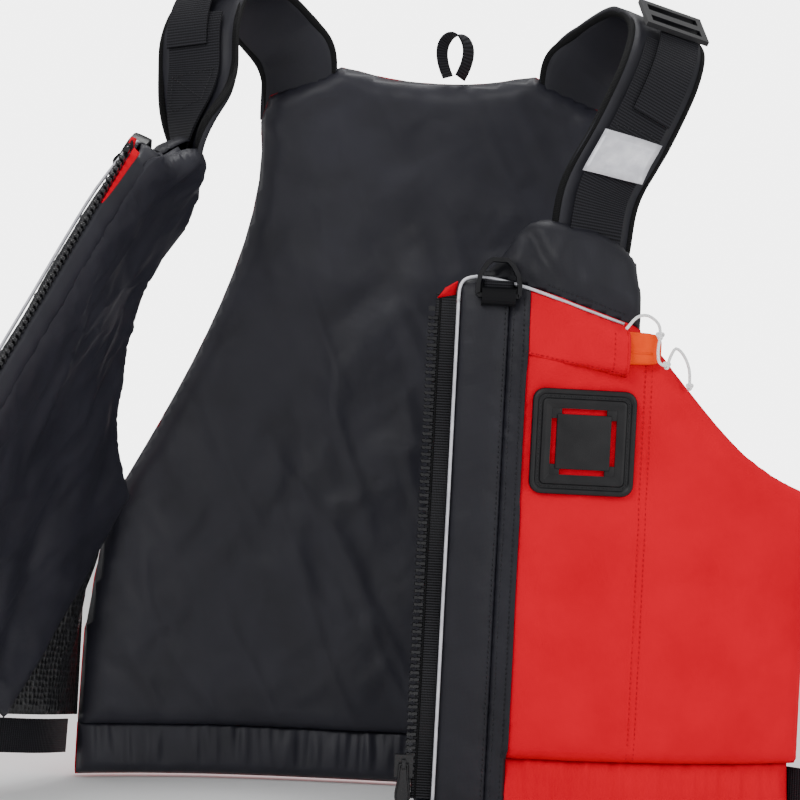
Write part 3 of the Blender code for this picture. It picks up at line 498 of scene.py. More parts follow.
def vary_colour(tree, shader, factor, dark, light, low=0.3, high=0.7):
    ramp = tree.nodes.new("ShaderNodeValToRGB")
    ramp.color_ramp.elements[0].position = low
    ramp.color_ramp.elements[0].color = dark
    ramp.color_ramp.elements[1].position = high
    ramp.color_ramp.elements[1].color = light
    tree.links.new(factor, ramp.inputs["Fac"])
    tree.links.new(ramp.outputs["Color"], shader.inputs["Base Color"])


def vary_roughness(tree, shader, factor, low, high):
    span = tree.nodes.new("ShaderNodeMapRange")
    span.inputs["To Min"].default_value = low
    span.inputs["To Max"].default_value = high
    tree.links.new(factor, span.inputs["Value"])
    tree.links.new(span.outputs["Result"], shader.inputs["Roughness"])


def weave_of(tree, vector, thread):
    """Crossed threads or a fine grid."""
    return joined(tree, bands(tree, vector, thread, "X"), bands(tree, vector, thread, "Y"),
                  "MULTIPLY")


def nylon(name, dark, light, rough, thread, specular):
    """Plain-woven nylon: crossed threads, soft creases and slight fading."""
    material, tree, shader = start_material(name, light, rough, specular=specular)
    vector = coordinates(tree)
    weave = weave_of(tree, vector, thread)
    under = raise_bump(tree, shader, cloudy(tree, vector, 0.016, 4.0), 0.35, 0.0012)
    raise_bump(tree, shader, weave, 0.25, 0.00025, under)
    # colour: random patches of tone, plus painted light on the weave's thread crossings and painted
    # shade in the gaps between threads
    shade = joined(tree, cloudy(tree, vector, 0.05), joined(tree, weave, 0.25, "MULTIPLY"), "ADD")
    vary_colour(tree, shader, shade, dark, light)
    vary_roughness(tree, shader, cloudy(tree, vector, 0.03), rough - 0.08, rough + 0.08)
    return material


def ribbed(name, dark, light, rough, rib, kind="UV"):
    """Webbing or grosgrain: strong ribs one way, fine threads the other."""
    material, tree, shader = start_material(name, light, rough, specular=0.14)
    vector = coordinates(tree, kind)
    ribs = bands(tree, vector, rib, "X")
    other = bands(tree, vector, rib * 0.6, "Y")
    height = joined(tree, ribs, joined(tree, other, 0.4, "MULTIPLY"), "ADD")
    under = raise_bump(tree, shader, cloudy(tree, vector, 0.004), 0.2, 0.0006)
    raise_bump(tree, shader, height, 0.7, 0.0005, under)
    # painted shade and highlight: the colour follows the rib height, darker in the grooves between ribs
    # and lighter on the rib tops
    vary_colour(tree, shader, height, dark, light, 0.2, 1.1)
    vary_roughness(tree, shader, cloudy(tree, vector, 0.02), rough - 0.08, rough + 0.1)
    return material


def moulded(name, dark, light, rough, grain, strength, specular=0.3):
    """Moulded plastic: fine grain, faint marks, and gloss that varies a little."""
    material, tree, shader = start_material(name, light, rough, specular=specular)
    vector = coordinates(tree, "Object")
    raise_bump(tree, shader, cloudy(tree, vector, grain, 4.0), strength, 0.0003)
    vary_colour(tree, shader, cloudy(tree, vector, 0.012), dark, light)
    vary_roughness(tree, shader, cloudy(tree, vector, 0.006), rough - 0.06, rough + 0.10)
    return material


def mesh_cloth(name):
    """Knitted spacer mesh: rows of small round holes with shiny yarn between them."""
    material, tree, shader = start_material(name, hue(0.01, 0.01, 0.011), 0.35)
    vector = coordinates(tree)
    cells = tree.nodes.new("ShaderNodeTexVoronoi")
    cells.inputs["Scale"].default_value = 1 / 0.0042
    cells.inputs["Randomness"].default_value = 0.35
    tree.links.new(vector, cells.inputs["Vector"])
    raise_bump(tree, shader, cells.outputs["Distance"], 1.0, 0.0012)
    # painted shade: the holes are painted darker than the yarn around them, for the shade inside them
    vary_colour(tree, shader, cells.outputs["Distance"], hue(0.001, 0.001, 0.001),
                hue(0.018, 0.018, 0.020), 0.25, 0.6)
    return material


def silver(name):
    """Retroreflective tape: pale, slightly metallic, with a fine grid."""
    material, tree, shader = start_material(name, hue(0.62, 0.62, 0.66), 0.42, metallic=0.25)
    vector = coordinates(tree)
    raise_bump(tree, shader, weave_of(tree, vector, 0.0021), 0.3, 0.0002)
    vary_colour(tree, shader, cloudy(tree, vector, 0.010), hue(0.50, 0.50, 0.55), hue(0.72, 0.72, 0.76))
    vary_roughness(tree, shader, cloudy(tree, vector, 0.02), 0.34, 0.50)
    return material


def braided(name):
    """White cord: slanting strands."""
    material, tree, shader = start_material(name, hue(0.85, 0.85, 0.86), 0.7)
    vector = coordinates(tree, "Object")
    strands = bands(tree, vector, 0.0012, "DIAGONAL")
    raise_bump(tree, shader, strands, 0.8, 0.0004)
    # painted shade: the colour follows the strands' relief, darker in the grooves between strands
    vary_colour(tree, shader, strands, hue(0.80, 0.80, 0.81), hue(0.98, 0.98, 0.98), 0.1, 0.6)
    return material


LOOKS = {
    "red": nylon("red_nylon", hue(0.58, 0.0, 0.014), hue(0.67, 0.0, 0.017),
                 0.85, 0.0008, 0.03),
    "black": nylon("black_nylon", hue(0.007, 0.007, 0.0105), hue(0.012, 0.012, 0.0175),
                   0.50, 0.0009, 0.26),
    "lining": nylon("charcoal_lining", hue(0.011, 0.011, 0.0165), hue(0.019, 0.019, 0.027),
                    0.45, 0.0007, 0.30),
    # webbing, tape, binding and both threads use ribbed(): their two colours are painted shade in the
    # rib grooves and painted highlight on the rib tops
    "webbing": ribbed("webbing", hue(0.003, 0.003, 0.004), hue(0.018, 0.018, 0.022), 0.66, 0.0022),
    "tape": ribbed("zip_tape", hue(0.001, 0.001, 0.001), hue(0.030, 0.030, 0.034), 0.60, RIB_PITCH),
    "binding": ribbed("binding", hue(0.002, 0.002, 0.002), hue(0.009, 0.009, 0.010), 0.68, 0.0012),
    "mesh": mesh_cloth("mesh_fabric"),
    "silver": silver("reflective"),
    "piping": silver("piping"),
    "teeth": moulded("zip_plastic", hue(0.004, 0.004, 0.005), hue(0.010, 0.010, 0.012),
                     0.26, 0.0015, 0.1, 0.45),
    "plastic": moulded("black_plastic", hue(0.004, 0.004, 0.005), hue(0.009, 0.009, 0.011),
                       0.30, 0.0009, 0.15),
    "rubber": moulded("tab_rubber", hue(0.004, 0.004, 0.005), hue(0.009, 0.009, 0.010),
                      0.46, 0.0007, 0.35),
    "orange": moulded("orange_plastic", hue(0.84, 0.050, 0.0), hue(0.92, 0.070, 0.0),
                      0.50, 0.004, 0.08, 0.08),
    "cord": braided("white_cord"),
    "thread": ribbed("black_thread", hue(0.012, 0.012, 0.013), hue(0.05, 0.05, 0.055), 0.6, 0.0010,
                     "Object"),
    "red_thread": ribbed("red_thread", hue(0.40, 0.004, 0.012), hue(0.62, 0.008, 0.02), 0.6, 0.0010,
                         "Object"),
}


# ---- mesh helpers

def put_in_scene(name, data):
    thing = bpy.data.objects.new(name, data)
    bpy.context.scene.collection.objects.link(thing)
    return thing


def make_object(name, bm, look, uv=None, sharp=None):
    """Object of one piece. uv gives each vertex its place on the cloth, in metres."""
    mesh = bpy.data.meshes.new(name)
    if uv is not None:
        layer = bm.loops.layers.uv.new("UVMap")
        for face in bm.faces:
            for loop in face.loops:
                loop[layer].uv = uv[loop.vert]
    bm.to_mesh(mesh)
    bm.free()
    mesh.materials.append(LOOKS[look])
    mesh.shade_smooth()
    if sharp is not None:
        mesh.set_sharp_from_angle(angle=math.radians(sharp))
    piece = put_in_scene(name, mesh)
    return piece


def apply_modifiers(piece):
    """Turn a thickened piece into a plain mesh."""
    graph = bpy.context.evaluated_depsgraph_get()
    graph.update()
    mesh = bpy.data.meshes.new_from_object(piece.evaluated_get(graph))
    piece.modifiers.clear()
    piece.data = mesh


def thicken(piece, thickness):
    """Give cloth its thickness, inward from its outer face."""
    shell = piece.modifiers.new("cloth", "SOLIDIFY")
    shell.thickness = thickness
    shell.offset = -1.0
    shell.use_even_offset = False
    return piece


SETTLING = []               # panels that cloth simulation still has to settle
SETTLE_FRAMES = 14
SETTLE_LIMIT = 0.0045       # the furthest that a point may move as its cloth settles


def cloth_panel(name, outline, place, lift, look, facing=1, pitch=0.0045, seams=None):
    """Cloth cut to an outline, finely divided, and lifted off its surface.
    With seams, the cloth is held along them and along its outline, and settles by simulation."""
    bm = bmesh.new()
    bm.faces.new([bm.verts.new((a, 0.0, b)) for a, b in outline])
    for axis, values in ((0, [p[0] for p in outline]), (2, [p[1] for p in outline])):
        normal = Vector((1, 0, 0)) if axis == 0 else Vector((0, 0, 1))
        for line in range(math.ceil(min(values) / pitch), math.floor(max(values) / pitch) + 1):
            everything = bm.verts[:] + bm.edges[:] + bm.faces[:]
            bmesh.ops.bisect_plane(bm, geom=everything, dist=1e-6,
                                   plane_co=normal * line * pitch, plane_no=normal)
    uv = {v: (v.co.x, v.co.z) for v in bm.verts}
    for vertex, (a, b) in uv.items():
        vertex.co = place(a, b, lift(a, b))
    bm.normal_update()
    face = max(bm.faces, key=lambda f: f.calc_area())
    a, b = uv[face.verts[0]]
    if face.normal.dot(outward(place, a, b)) * facing < 0:
        bmesh.ops.reverse_faces(bm, faces=bm.faces[:])
    held = None if seams is None else [uv[v] for v in bm.verts]
    piece = make_object(name, bm, look, uv)
    if held is None:
        return thicken(piece, CLOTH)
    SETTLING.append(piece)
    hold = piece.vertex_groups.new(name="held")
    border = outline + outline[:1]
    for index, point in enumerate(held):
        away = min([gap_to(point, border)] + [gap_to(point, line) for line in seams])
        hold.add([index], 0.06 + 0.94 * (1 - smooth(away / 0.012)), "REPLACE")
    return piece


def settle_cloth():
    """Let the slightly generous cloth of the big panels buckle between its seams, then thicken it."""
    starts = {piece: [v.co.copy() for v in piece.data.vertices] for piece in SETTLING}
    for piece in SETTLING:
        cloth = piece.modifiers.new("settle", "CLOTH").settings
        cloth.quality = 4
        cloth.mass = 0.15
        cloth.vertex_group_mass = "held"
        cloth.pin_stiffness = 0.6
        cloth.tension_stiffness = 12
        cloth.compression_stiffness = 12
        cloth.shear_stiffness = 4
        cloth.bending_stiffness = 0.04
        cloth.shrink_min = -0.007
        cloth.use_pressure = True
        cloth.uniform_pressure_force = 0.35
        cloth.effector_weights.gravity = 0.0
    for step in range(1, SETTLE_FRAMES + 1):
        bpy.context.scene.frame_set(step)
    graph = bpy.context.evaluated_depsgraph_get()
    ends = {piece: [v.co.copy() for v in piece.evaluated_get(graph).data.vertices]
            for piece in SETTLING}
    for piece in SETTLING:
        piece.modifiers.clear()
        for vertex, start, end in zip(piece.data.vertices, starts[piece], ends[piece]):
            move = end - start
            if move.length > SETTLE_LIMIT:
                move *= SETTLE_LIMIT / move.length
            vertex.co = start + move
        piece.data.update()
    bpy.context.scene.frame_set(1)
    for piece in SETTLING:
        thicken(piece, CLOTH)


def skin(rings, closed_ring=True, closed_row=False, bm=None):
    """Mesh through rows of equal rings, added to bm when there is one.
    Returns it with each vertex's place on the cloth."""
    if bm is None:
        bm = bmesh.new()
    rows = [[bm.verts.new(p) for p in ring] for ring in rings]
    uv, along = {}, 0.0
    for index, row in enumerate(rows):
        if index:
            along += (row[0].co - rows[index - 1][0].co).length
        across = 0.0
        for k, vertex in enumerate(row):
            if k:
                across += (vertex.co - row[k - 1].co).length
            uv[vertex] = (along, across)
    count = len(rows[0])
    pairs = list(zip(rows, rows[1:])) + ([(rows[-1], rows[0])] if closed_row else [])
    for row, following in pairs:
        for k in range(count if closed_ring else count - 1):
            n = (k + 1) % count
            bm.faces.new((row[k], row[n], following[n], following[k]))
    if closed_ring and not closed_row:
        bm.faces.new(rows[0][::-1])
        bm.faces.new(rows[-1])
    bmesh.ops.recalc_face_normals(bm, faces=bm.faces[:])
    return bm, uv


def sheet(name, rows, look, thickness):
    """Cloth or webbing through rows of points."""
    bm, uv = skin(rows, closed_ring=False)
    return thicken(make_object(name, bm, look, uv), thickness)


def solid(name, rings, look, sharp=None, closed_row=False):
    """Closed body through rings of points."""
    bm, uv = skin(rings, closed_row=closed_row)
    return make_object(name, bm, look, uv, sharp)


def stand_for(piece, body, *nodes, fill=None):
    """The piece takes the place of CAD nodes and moves with their body. Fill is not used."""
    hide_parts(*nodes)
    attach(piece, body)


STRAP_STEPS = 8             # points across each face of a strap


def strap(name, path, across, width, thickness, look, crown=0.0, sharp=45):
    """Strap along a path: flat webbing, or a crowned pad."""
    rings = []
    for k, point in enumerate(path):
        ahead = path[min(k + 1, len(path) - 1)] - path[max(k - 1, 0)]
        wide = (across[k] - ahead * (across[k].dot(ahead) / ahead.length_squared)).normalized()
        thick = ahead.cross(wide).normalized()
        ring = []
        for sign in (1, -1):
            for step in range(STRAP_STEPS + 1):
                t = sign * (2 * step / STRAP_STEPS - 1)
                rise = thickness / 2 + crown * (1 - t * t) ** 0.5
                ring.append(point + wide * (t * width / 2) + thick * (-sign * rise))
        rings.append(ring)
    return solid(name, rings, look, sharp)


def tube(name, points, radius, look, closed=False, sides=8, squash=1.0):
    """Round cord, piping or thread along a path."""
    rings = []
    count = len(points)
    side = None
    for k, point in enumerate(points):
        before = points[(k - 1) % count] if closed else points[max(k - 1, 0)]
        after = points[(k + 1) % count] if closed else points[min(k + 1, count - 1)]
        ahead = (after - before).normalized()
        if side is None:
            side = ahead.orthogonal().normalized()
        side = (side - ahead * side.dot(ahead)).normalized()
        up = ahead.cross(side)
        angles = [2 * math.pi * step / sides for step in range(sides)]
        rings.append([point + side * radius * math.cos(t) + up * radius * squash * math.sin(t)
                      for t in angles])
    return solid(name, rings, look, closed_row=closed)


def stitches(name, lines, facing, look="thread", pitch=0.0036, length=0.0025, radius=0.00038):
    """Rows of raised stitches, each a small spindle along its line, on cloth facing one way."""
    bm = bmesh.new()
    for line in lines:
        walk = even(line, pitch)
        for here, following in zip(walk, walk[1:]):
            ahead = (following - here).normalized()
            side = ahead.cross(facing).normalized()
            out = side.cross(ahead)
            ends = [bm.verts.new(here + ahead * (sign * length / 2)) for sign in (-1, 1)]
            belt = [bm.verts.new(here + (side * math.cos(t) + out * math.sin(t)) * radius)
                    for t in (0, math.pi / 2, math.pi, 3 * math.pi / 2)]
            for k in range(4):
                n = (k + 1) % 4
                bm.faces.new((belt[k], belt[n], ends[1]))
                bm.faces.new((belt[n], belt[k], ends[0]))
    bmesh.ops.recalc_face_normals(bm, faces=bm.faces[:])
    return make_object(name, bm, look)


def rounded_box(name, low, high, radius, look, matrix):
    """Box between two corners, with rounded edges, placed by a matrix."""
    bm = bmesh.new()
    bmesh.ops.create_cube(bm, size=1.0)
    size, middle = Vector(high) - Vector(low), (Vector(high) + Vector(low)) / 2
    bmesh.ops.transform(bm, verts=bm.verts[:],
                        matrix=Matrix.Translation(middle) @ Matrix.Diagonal((*size, 1.0)))
    bmesh.ops.bevel(bm, geom=bm.edges[:], offset=radius, segments=2, affect="EDGES", profile=0.5)
    bmesh.ops.transform(bm, verts=bm.verts[:], matrix=matrix)
    return make_object(name, bm, look, sharp=50)


def polish(node, look, bevel):
    """Give a CAD node its finish, and round its edges."""
    piece = frame["nodes"][node]
    piece.data.materials.clear()
    piece.data.materials.append(LOOKS[look])
    edge = piece.modifiers.new("edge", "BEVEL")
    edge.width = bevel
    edge.segments = 2
    edge.limit_method = "ANGLE"
    edge.angle_limit = math.radians(35)
    edge.harden_normals = True


# ---- camera and light

PICTURE_SPAN = 0.560        # metres across the picture, at the front panel
CAMERA_DISTANCE = 1.90
CAMERA_PLACE = (-0.016, 0.293)   # across and up, from the vest's centre line
CAMERA_ROLL = -3.0
SENSOR = 36.0


def make_camera():
    """Level with the chest and square to the vest, rolled a little as the vest hangs."""
    data = bpy.data.cameras.new("camera")
    data.sensor_width = SENSOR
    data.lens = SENSOR * CAMERA_DISTANCE / PICTURE_SPAN
    camera = put_in_scene("camera", data)
    across, up = CAMERA_PLACE
    camera.location = ORIGIN + Vector((across, -FRONT_DEPTH - CAMERA_DISTANCE, up))
    camera.rotation_mode = "QUATERNION"
    level = Matrix.Rotation(math.radians(90), 3, "X")
    roll = Matrix.Rotation(math.radians(CAMERA_ROLL), 3, "Y")
    camera.rotation_quaternion = (roll @ level).to_quaternion()
    bpy.context.scene.camera = camera


def soft_light(name, place, aim, size, power):
    data = bpy.data.lights.new(name, "AREA")
    data.shape = "DISK"
    data.size = size
    data.energy = power
    lamp = put_in_scene(name, data)
    lamp.location = place
    lamp.rotation_mode = "QUATERNION"
    lamp.rotation_quaternion = (Vector(aim) - Vector(place)).to_track_quat("-Z", "Y")


def make_studio():
    """White sweep, bright sky and three soft boxes."""
    world = bpy.data.worlds.new("studio")
    world.use_nodes = True
    tree = world.node_tree
    background = tree.nodes["Background"]
    background.inputs["Color"].default_value = hue(1.0, 1.0, 1.0)
    background.inputs["Strength"].default_value = 0.75
    backdrop = tree.nodes.new("ShaderNodeBackground")
    backdrop.inputs["Color"].default_value = hue(1.0, 1.0, 1.0)
    backdrop.inputs["Strength"].default_value = 5.0
    seen = tree.nodes.new("ShaderNodeLightPath")
    mix = tree.nodes.new("ShaderNodeMixShader")
    tree.links.new(seen.outputs["Is Camera Ray"], mix.inputs["Fac"])
    tree.links.new(background.outputs["Background"], mix.inputs[1])
    tree.links.new(backdrop.outputs["Background"], mix.inputs[2])
    tree.links.new(mix.outputs["Shader"], tree.nodes["World Output"].inputs["Surface"])
    bpy.context.scene.world = world
    middle = Vector((0.0, 0.0, 0.30))
    soft_light("key", (-0.9, -1.7, 1.7), middle, 1.0, 26.0)
    soft_light("fill", (1.6, -1.4, 0.9), middle, 1.2, 12.0)
    soft_light("top", (0.2, 0.5, 1.9), middle, 0.9, 12.0)
    bm = bmesh.new()
    bmesh.ops.create_grid(bm, x_segments=1, y_segments=1, size=6.0)
    mesh = bpy.data.meshes.new("floor")
    bm.to_mesh(mesh)
    bm.free()
    material, tree, shader = start_material("floor", hue(0.93, 0.93, 0.93), 0.9)
    vary_colour(tree, shader, cloudy(tree, coordinates(tree, "Object"), 0.8),
                hue(0.91, 0.91, 0.92), hue(0.94, 0.94, 0.94))
    mesh.materials.append(material)
    floor = put_in_scene("floor", mesh)
    floor.location = (0.0, 0.0, -0.001)


# ---- whistle cord, whistle and pocket

# The same route as the frame's: out of the pocket's corner, over the whistle, down its end
# and out over the armhole edge
CORD_ROUTE = [
    (0.1370, 0.3490, 0.0153), (0.1440, 0.3572, 0.0148), (0.1520, 0.3590, 0.0135),
    (0.1595, 0.3540, 0.0128), (0.1610, 0.3460, 0.0130), (0.1600, 0.3360, 0.0130),
    (0.1615, 0.3280, 0.0124), (0.1670, 0.3265, 0.0110), (0.1700, 0.3330, 0.0096),
    (0.1740, 0.3385, 0.0080), (0.1800, 0.3345, 0.0065), (0.1850, 0.3250, 0.0050),
    (0.1865, 0.3130, 0.0036),
]
CORD_RADIUS = 0.0011
CORD_STEPS = 3              # steps between two points of the route


def make_cord():
    """White cord that ties the whistle, with a knot above it, one below it and one at its end."""
    place = PLACE_FRONT[LEFT]
    points = through([place(*point) for point in CORD_ROUTE], CORD_STEPS)
    curve = bpy.data.curves.new("whistle_cord_look", "CURVE")
    curve.dimensions = "3D"
    curve.bevel_depth = CORD_RADIUS
    curve.bevel_resolution = 4
    curve.use_fill_caps = True
    spline = curve.splines.new("POLY")
    spline.points.add(len(points) - 1)
    for point, co in zip(spline.points, points):
        point.co = (*co, 1.0)
    curve.materials.append(LOOKS["cord"])
    cord = put_in_scene("whistle_cord_look", curve)
    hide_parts("whistle_cord")
    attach(cord, "whistle")
    knots = [make_knot("cord_knot_top", points[4 * CORD_STEPS], 0.0026),
             make_knot("cord_knot_low", points[7 * CORD_STEPS], 0.0024),
             make_knot("cord_knot_end", points[-1], 0.0022)]
    for knot in knots:
        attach(knot, "whistle")


def make_knot(name, centre, size):
    """Overhand knot, as a short trefoil of cord."""
    points = []
    for t in spread(0, 2 * math.pi, 48)[:-1]:
        points.append(centre + Vector((math.sin(t) + 2 * math.sin(2 * t), 0.9 * math.sin(3 * t),
                                       math.cos(t) - 2 * math.cos(2 * t))) * (size / 3))
    return tube(name, points, CORD_RADIUS * 0.8, "cord", closed=True)


def whistle_frame():
    """X out of the pocket's mouth, Y into the chest, Z up, at the whistle's centre."""
    along = Vector(JOINTS["whistle_draw"]["axis"]).normalized()
    matrix = Matrix((along, Vector((-along.y, along.x, 0)), Vector((0, 0, 1)))).transposed().to_4x4()
    matrix.translation = middle_of("whistle")
    return matrix


def whistle_ring(along, width, height, low):
    """One rounded section of the whistle, seen along its length."""
    squareness = 0.55
    ring = []
    for t in spread(0, 2 * math.pi, 24)[:-1]:
        c, s = math.cos(t), math.sin(t)
        y = math.copysign(abs(c) ** squareness, c) * width / 2
        z = low + height / 2 + math.copysign(abs(s) ** squareness, s) * height / 2
        ring.append(Vector((along, y, z)))
    return ring


def make_whistle():
    """Flat pealess whistle: a rounded sound chamber with a step under its mouthpiece."""
    half, high, thick = 0.024, 0.0228, 0.0082
    sections = [(-half, 0.35, 0.5), (-half + 0.001, 0.8, 0.82), (-half + 0.003, 0.95, 0.95),
                (-0.008, 1.0, 1.0), (0.006, 1.0, 1.0), (0.014, 0.98, 0.98), (half - 0.0035, 0.93, 0.9),
                (half - 0.001, 0.78, 0.74), (half, 0.40, 0.5)]
    rings = [whistle_ring(x, thick * w, high * h, -high * h / 2) for x, w, h in sections]
    whistle = solid("whistle_look", rings, "orange", 60)
    whistle.data.transform(whistle_frame())
    stand_for(whistle, "whistle", "whistle")
    step = [Vector((x, -thick / 2 - 0.0001, -0.0032)) for x in (-0.016, 0.0, 0.017)]
    ridge = tube("whistle_step", [whistle_frame() @ p for p in step], 0.0007, "orange")
    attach(ridge, "whistle")


POCKET_LOW, POCKET_MOUTH = 0.0712, 0.141    # its ends across the front
POCKET_FLOOR = [(POCKET_LOW, 0.3295), (POCKET_MOUTH, 0.3168)]
POCKET_GAP = 0.0036         # from the yoke seam down to the pocket's cloth


def pocket_lift(across, up):
    """The pocket's cloth: flat along its stitched edges and open at its mouth."""
    sides = smooth((across - POCKET_LOW) / 0.030) * smooth((seam_height(across) - up) / 0.014)
    stitched = gap_to((across, up), POCKET_FLOOR)
    open_end = smooth((across - 0.090) / 0.05)
    rise = quarter_round(stitched / 0.008) * sides * (0.0012 + 0.0100 * open_end)
    rise += 0.0009 * wrinkles(across, up, 31.0, 0.025, (1.4, 0.8)) * smooth(stitched / 0.006)
    return front_outside(across, up) + 0.0011 + rise


def make_pocket():
    """Whistle pocket: loose cloth, a rolled edge at its mouth, and two rows of stitches."""
    place = PLACE_FRONT[LEFT]
    top = [(a, seam_height(a) - POCKET_GAP)
           for a in (POCKET_LOW, 0.09, 0.105, 0.12, 0.132, POCKET_MOUTH)]
    outline = POCKET_FLOOR + top[::-1]
    pocket = cloth_panel("whistle_pocket_look", outline, place, pocket_lift, "red", pitch=0.0028)
    stand_for(pocket, "left_front", "whistle_pocket", fill=0.2)
    hem = [draped(place, pocket_lift, POCKET_MOUTH - 0.001, up)
           for up in (0.3175, 0.322, 0.330, 0.338, 0.345, 0.351)]
    edge = tube("whistle_pocket_mouth", hem, 0.0011, "red")
    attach(edge, "left_front")
    (low, floor_low), (high, floor_high) = POCKET_FLOOR
    along_floor = zip(spread(low, high, 16), spread(floor_low + 0.0014, floor_high + 0.0014, 16))
    up_mouth = [(POCKET_MOUTH - 0.0105, up) for up in spread(0.320, 0.350, 10)]
    rows = [[draped(place, pocket_lift, a, b, 0.0003) for a, b in row]
            for row in (along_floor, up_mouth)]
    sewn = stitches("whistle_pocket_stitches", rows, Vector((0, -1, 0)), "red_thread")
    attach(sewn, "left_front")


# ---- fronts

def make_front(side):
    """One front: its padded cloth, hem, seams, piping, zip half, tab and ring."""
    name, place = SIDE_NAME[side], PLACE_FRONT[side]
    body = name + "_front"

    def panel(piece_name, outline, lift, look, facing, *nodes, **more):
        piece = cloth_panel(piece_name, outline, place, lift, look, facing, **more)
        stand_for(piece, body, *nodes, fill=0.8)

    panel("chest_cloth_" + name, chest_part(PLACKET_END, HALF_WIDTH), front_outside, "red", 1,
          "outer_panel_" + name, "chest_foam_" + name, seams=CHEST_SEAMS + TAB_SIDES)
    panel("zip_band_" + name, chest_part(PANEL_EDGE, BAND_END, 0.003), front_outside, "black", 1,
          "front_band_" + name, pitch=0.0035, seams=[])
    panel("placket_" + name, chest_part(BAND_END, PLACKET_END + 0.0012, 0.003), placket_outside,
          "black", 1, "pocket_placket_" + name, pitch=0.0030)
    yoke = yoke_edge()[::-1] + [(a, seam_height(a)) for a, b in front_top()[1:-1]]
    panel("yoke_cloth_" + name, yoke, front_outside, "black", 1,
          "shoulder_yoke_" + name, "yoke_foam_" + name, pitch=0.0035, seams=[])
    panel("lining_cloth_" + name, lining_outline(), front_inside, "lining", -1,
          "front_lining_" + name, seams=[])
    make_hem("hem_" + name, body, place, (PANEL_EDGE, HALF_WIDTH - 0.001), FRONT_HEM_SEAM,
             "hem_elastic_" + name, outside_from=PLACKET_END)
    make_front_seams(side, place, body)
    make_piping(side, place, body)
    make_zip_side(side, body)
    make_tab(side, place, body)
    make_ring_webbing(side, place, body)


HEM_BOTTOM = 0.0016
HEM_ROWS = 14
GATHER_PITCH = 0.0022


def gathers(across, down, seed):
    """Small folds of gathered cloth, across the hem and some way down it."""
    fold = noise.noise(Vector((across / 0.0060, down * 0.9, 3.0 + seed)))
    return fold + 0.6 * noise.noise(Vector((across / 0.0130, down * 0.7, 8.0 + seed)))


def make_hem(name, body, place, span, seam, node, outside_from=None):
    """Elastic hem: cloth gathered over a band, red outside and dark inside."""
    outside = (outside_from or span[0], span[1])
    for part, look, sign, reach in (("_outside", "red", 1, outside), ("_inside", "lining", -1, span)):
        columns = int((reach[1] - reach[0]) / GATHER_PITCH)
        bm = bmesh.new()
        rows, uv = [], {}
        for down in spread(0, 1, HEM_ROWS):
            up = seam * (1 - down) + HEM_BOTTOM * down
            profile = 0.55 + 0.55 * math.sin(math.pi * min(1.0, down * 1.02) * 0.62)
            profile *= quarter_round((1.0 - down) / 0.22)
            ease = math.sin(math.pi * min(1.0, down + 0.12)) ** 0.5
            row = []
            for across in spread(*reach, columns):
                fold = gathers(across, down, sign) * ease
                rise = sign * (HALF_THICK * profile * 0.82 + 0.0026 * fold)
                ends = min(across - span[0], span[1] - across)
                lift = MIDDLE + rise * (0.15 + 0.85 * quarter_round(ends / 0.012))
                vertex = bm.verts.new(place(across, up + 0.0012 * fold * (1 - down), lift))
                uv[vertex] = (across, up)
                row.append(vertex)
            rows.append(row)
        for row, following in zip(rows, rows[1:]):
            for k in range(columns):
                bm.faces.new((row[k], following[k], following[k + 1], row[k + 1]))
        bm.normal_update()
        out = outward(place, 0.1, 0.02)
        if sum(face.normal.dot(out) for face in bm.faces) * sign < 0:
            bmesh.ops.reverse_faces(bm, faces=bm.faces[:])
        cloth = thicken(make_object(name + part, bm, look, uv), CLOTH)
        stand_for(cloth, body, node, fill=0.5)
    line = [place(across, seam + 0.0022, MIDDLE + HALF_THICK * 0.78)
            for across in spread(*span, 40)[1:-1]]
    sewn = stitches(name + "_stitches", [line], Vector((0, -1, 0)), "red_thread")
    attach(sewn, body)


def make_front_seams(side, place, body):
    """Topstitching beside the placket, the pocket seam and the yoke seam."""
    def on_cloth(across, up):
        lift = placket_outside if BAND_END < across < PLACKET_END else front_outside
        return draped(place, lift, across, up, 0.0005)

    def upright(across, low, high):
        return [on_cloth(across, up) for up in spread(low, high, 30)]

    dark = [upright(BAND_END - 0.0025, 0.012, 0.376), upright(BAND_END + 0.0030, 0.012, 0.376),
            upright(PLACKET_END - 0.0022, 0.012, 0.372),
            [on_cloth(across, seam_height(across) + 0.0048)
             for across in (0.040, 0.055, 0.070, 0.085, 0.100, 0.115, 0.130, 0.145)]]
    red = [upright(POCKET_SEAM - 0.0024, 0.049, 0.345), upright(POCKET_SEAM + 0.0024, 0.049, 0.343)]
    out = outward(place, 0.1, 0.2)
    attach(stitches("front_stitches_" + SIDE_NAME[side], dark, out), body)
    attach(stitches("chest_stitches_" + SIDE_NAME[side], red, out, "red_thread"), body)


def make_piping(side, place, body):
    """Silver piping beside the zip, round the corner and along the yoke seam."""
    beside = PANEL_EDGE + 0.0018
    route = [(beside, up) for up in spread(0.008, 0.362, 12)]
    route += bezier((beside, 0.364), (beside, 0.376), (0.022, FRONT_TOP - 0.002),
                    (0.036, FRONT_TOP - 0.002), 8)
    route += [(a, b - 0.002) for a, b in front_top()[2:-1]]
    points = [place(a, b, 0.0020 + 0.0005 * noise.noise(Vector((a * 30, b * 30, side))))
              for a, b in route]
    piping = tube("piping_" + SIDE_NAME[side], through(points, 2), PIPING_RADIUS, "piping")
    stand_for(piping, body, "reflective_piping_" + SIDE_NAME[side])


def make_zip_side(side, body):
    """One half of the zip, with the cloth beside and behind it."""
    name = SIDE_NAME[side]
    make_zip_tape(side, body)
    make_zip_guard(side, body)
    make_zip_teeth(side, body)
    polish("zip_end_" + name, "teeth", 0.0006)
    polish("zip_top_stop_" + name, "teeth", 0.0005)
    make_facing(side, body)
    make_facing_tail(side, body)


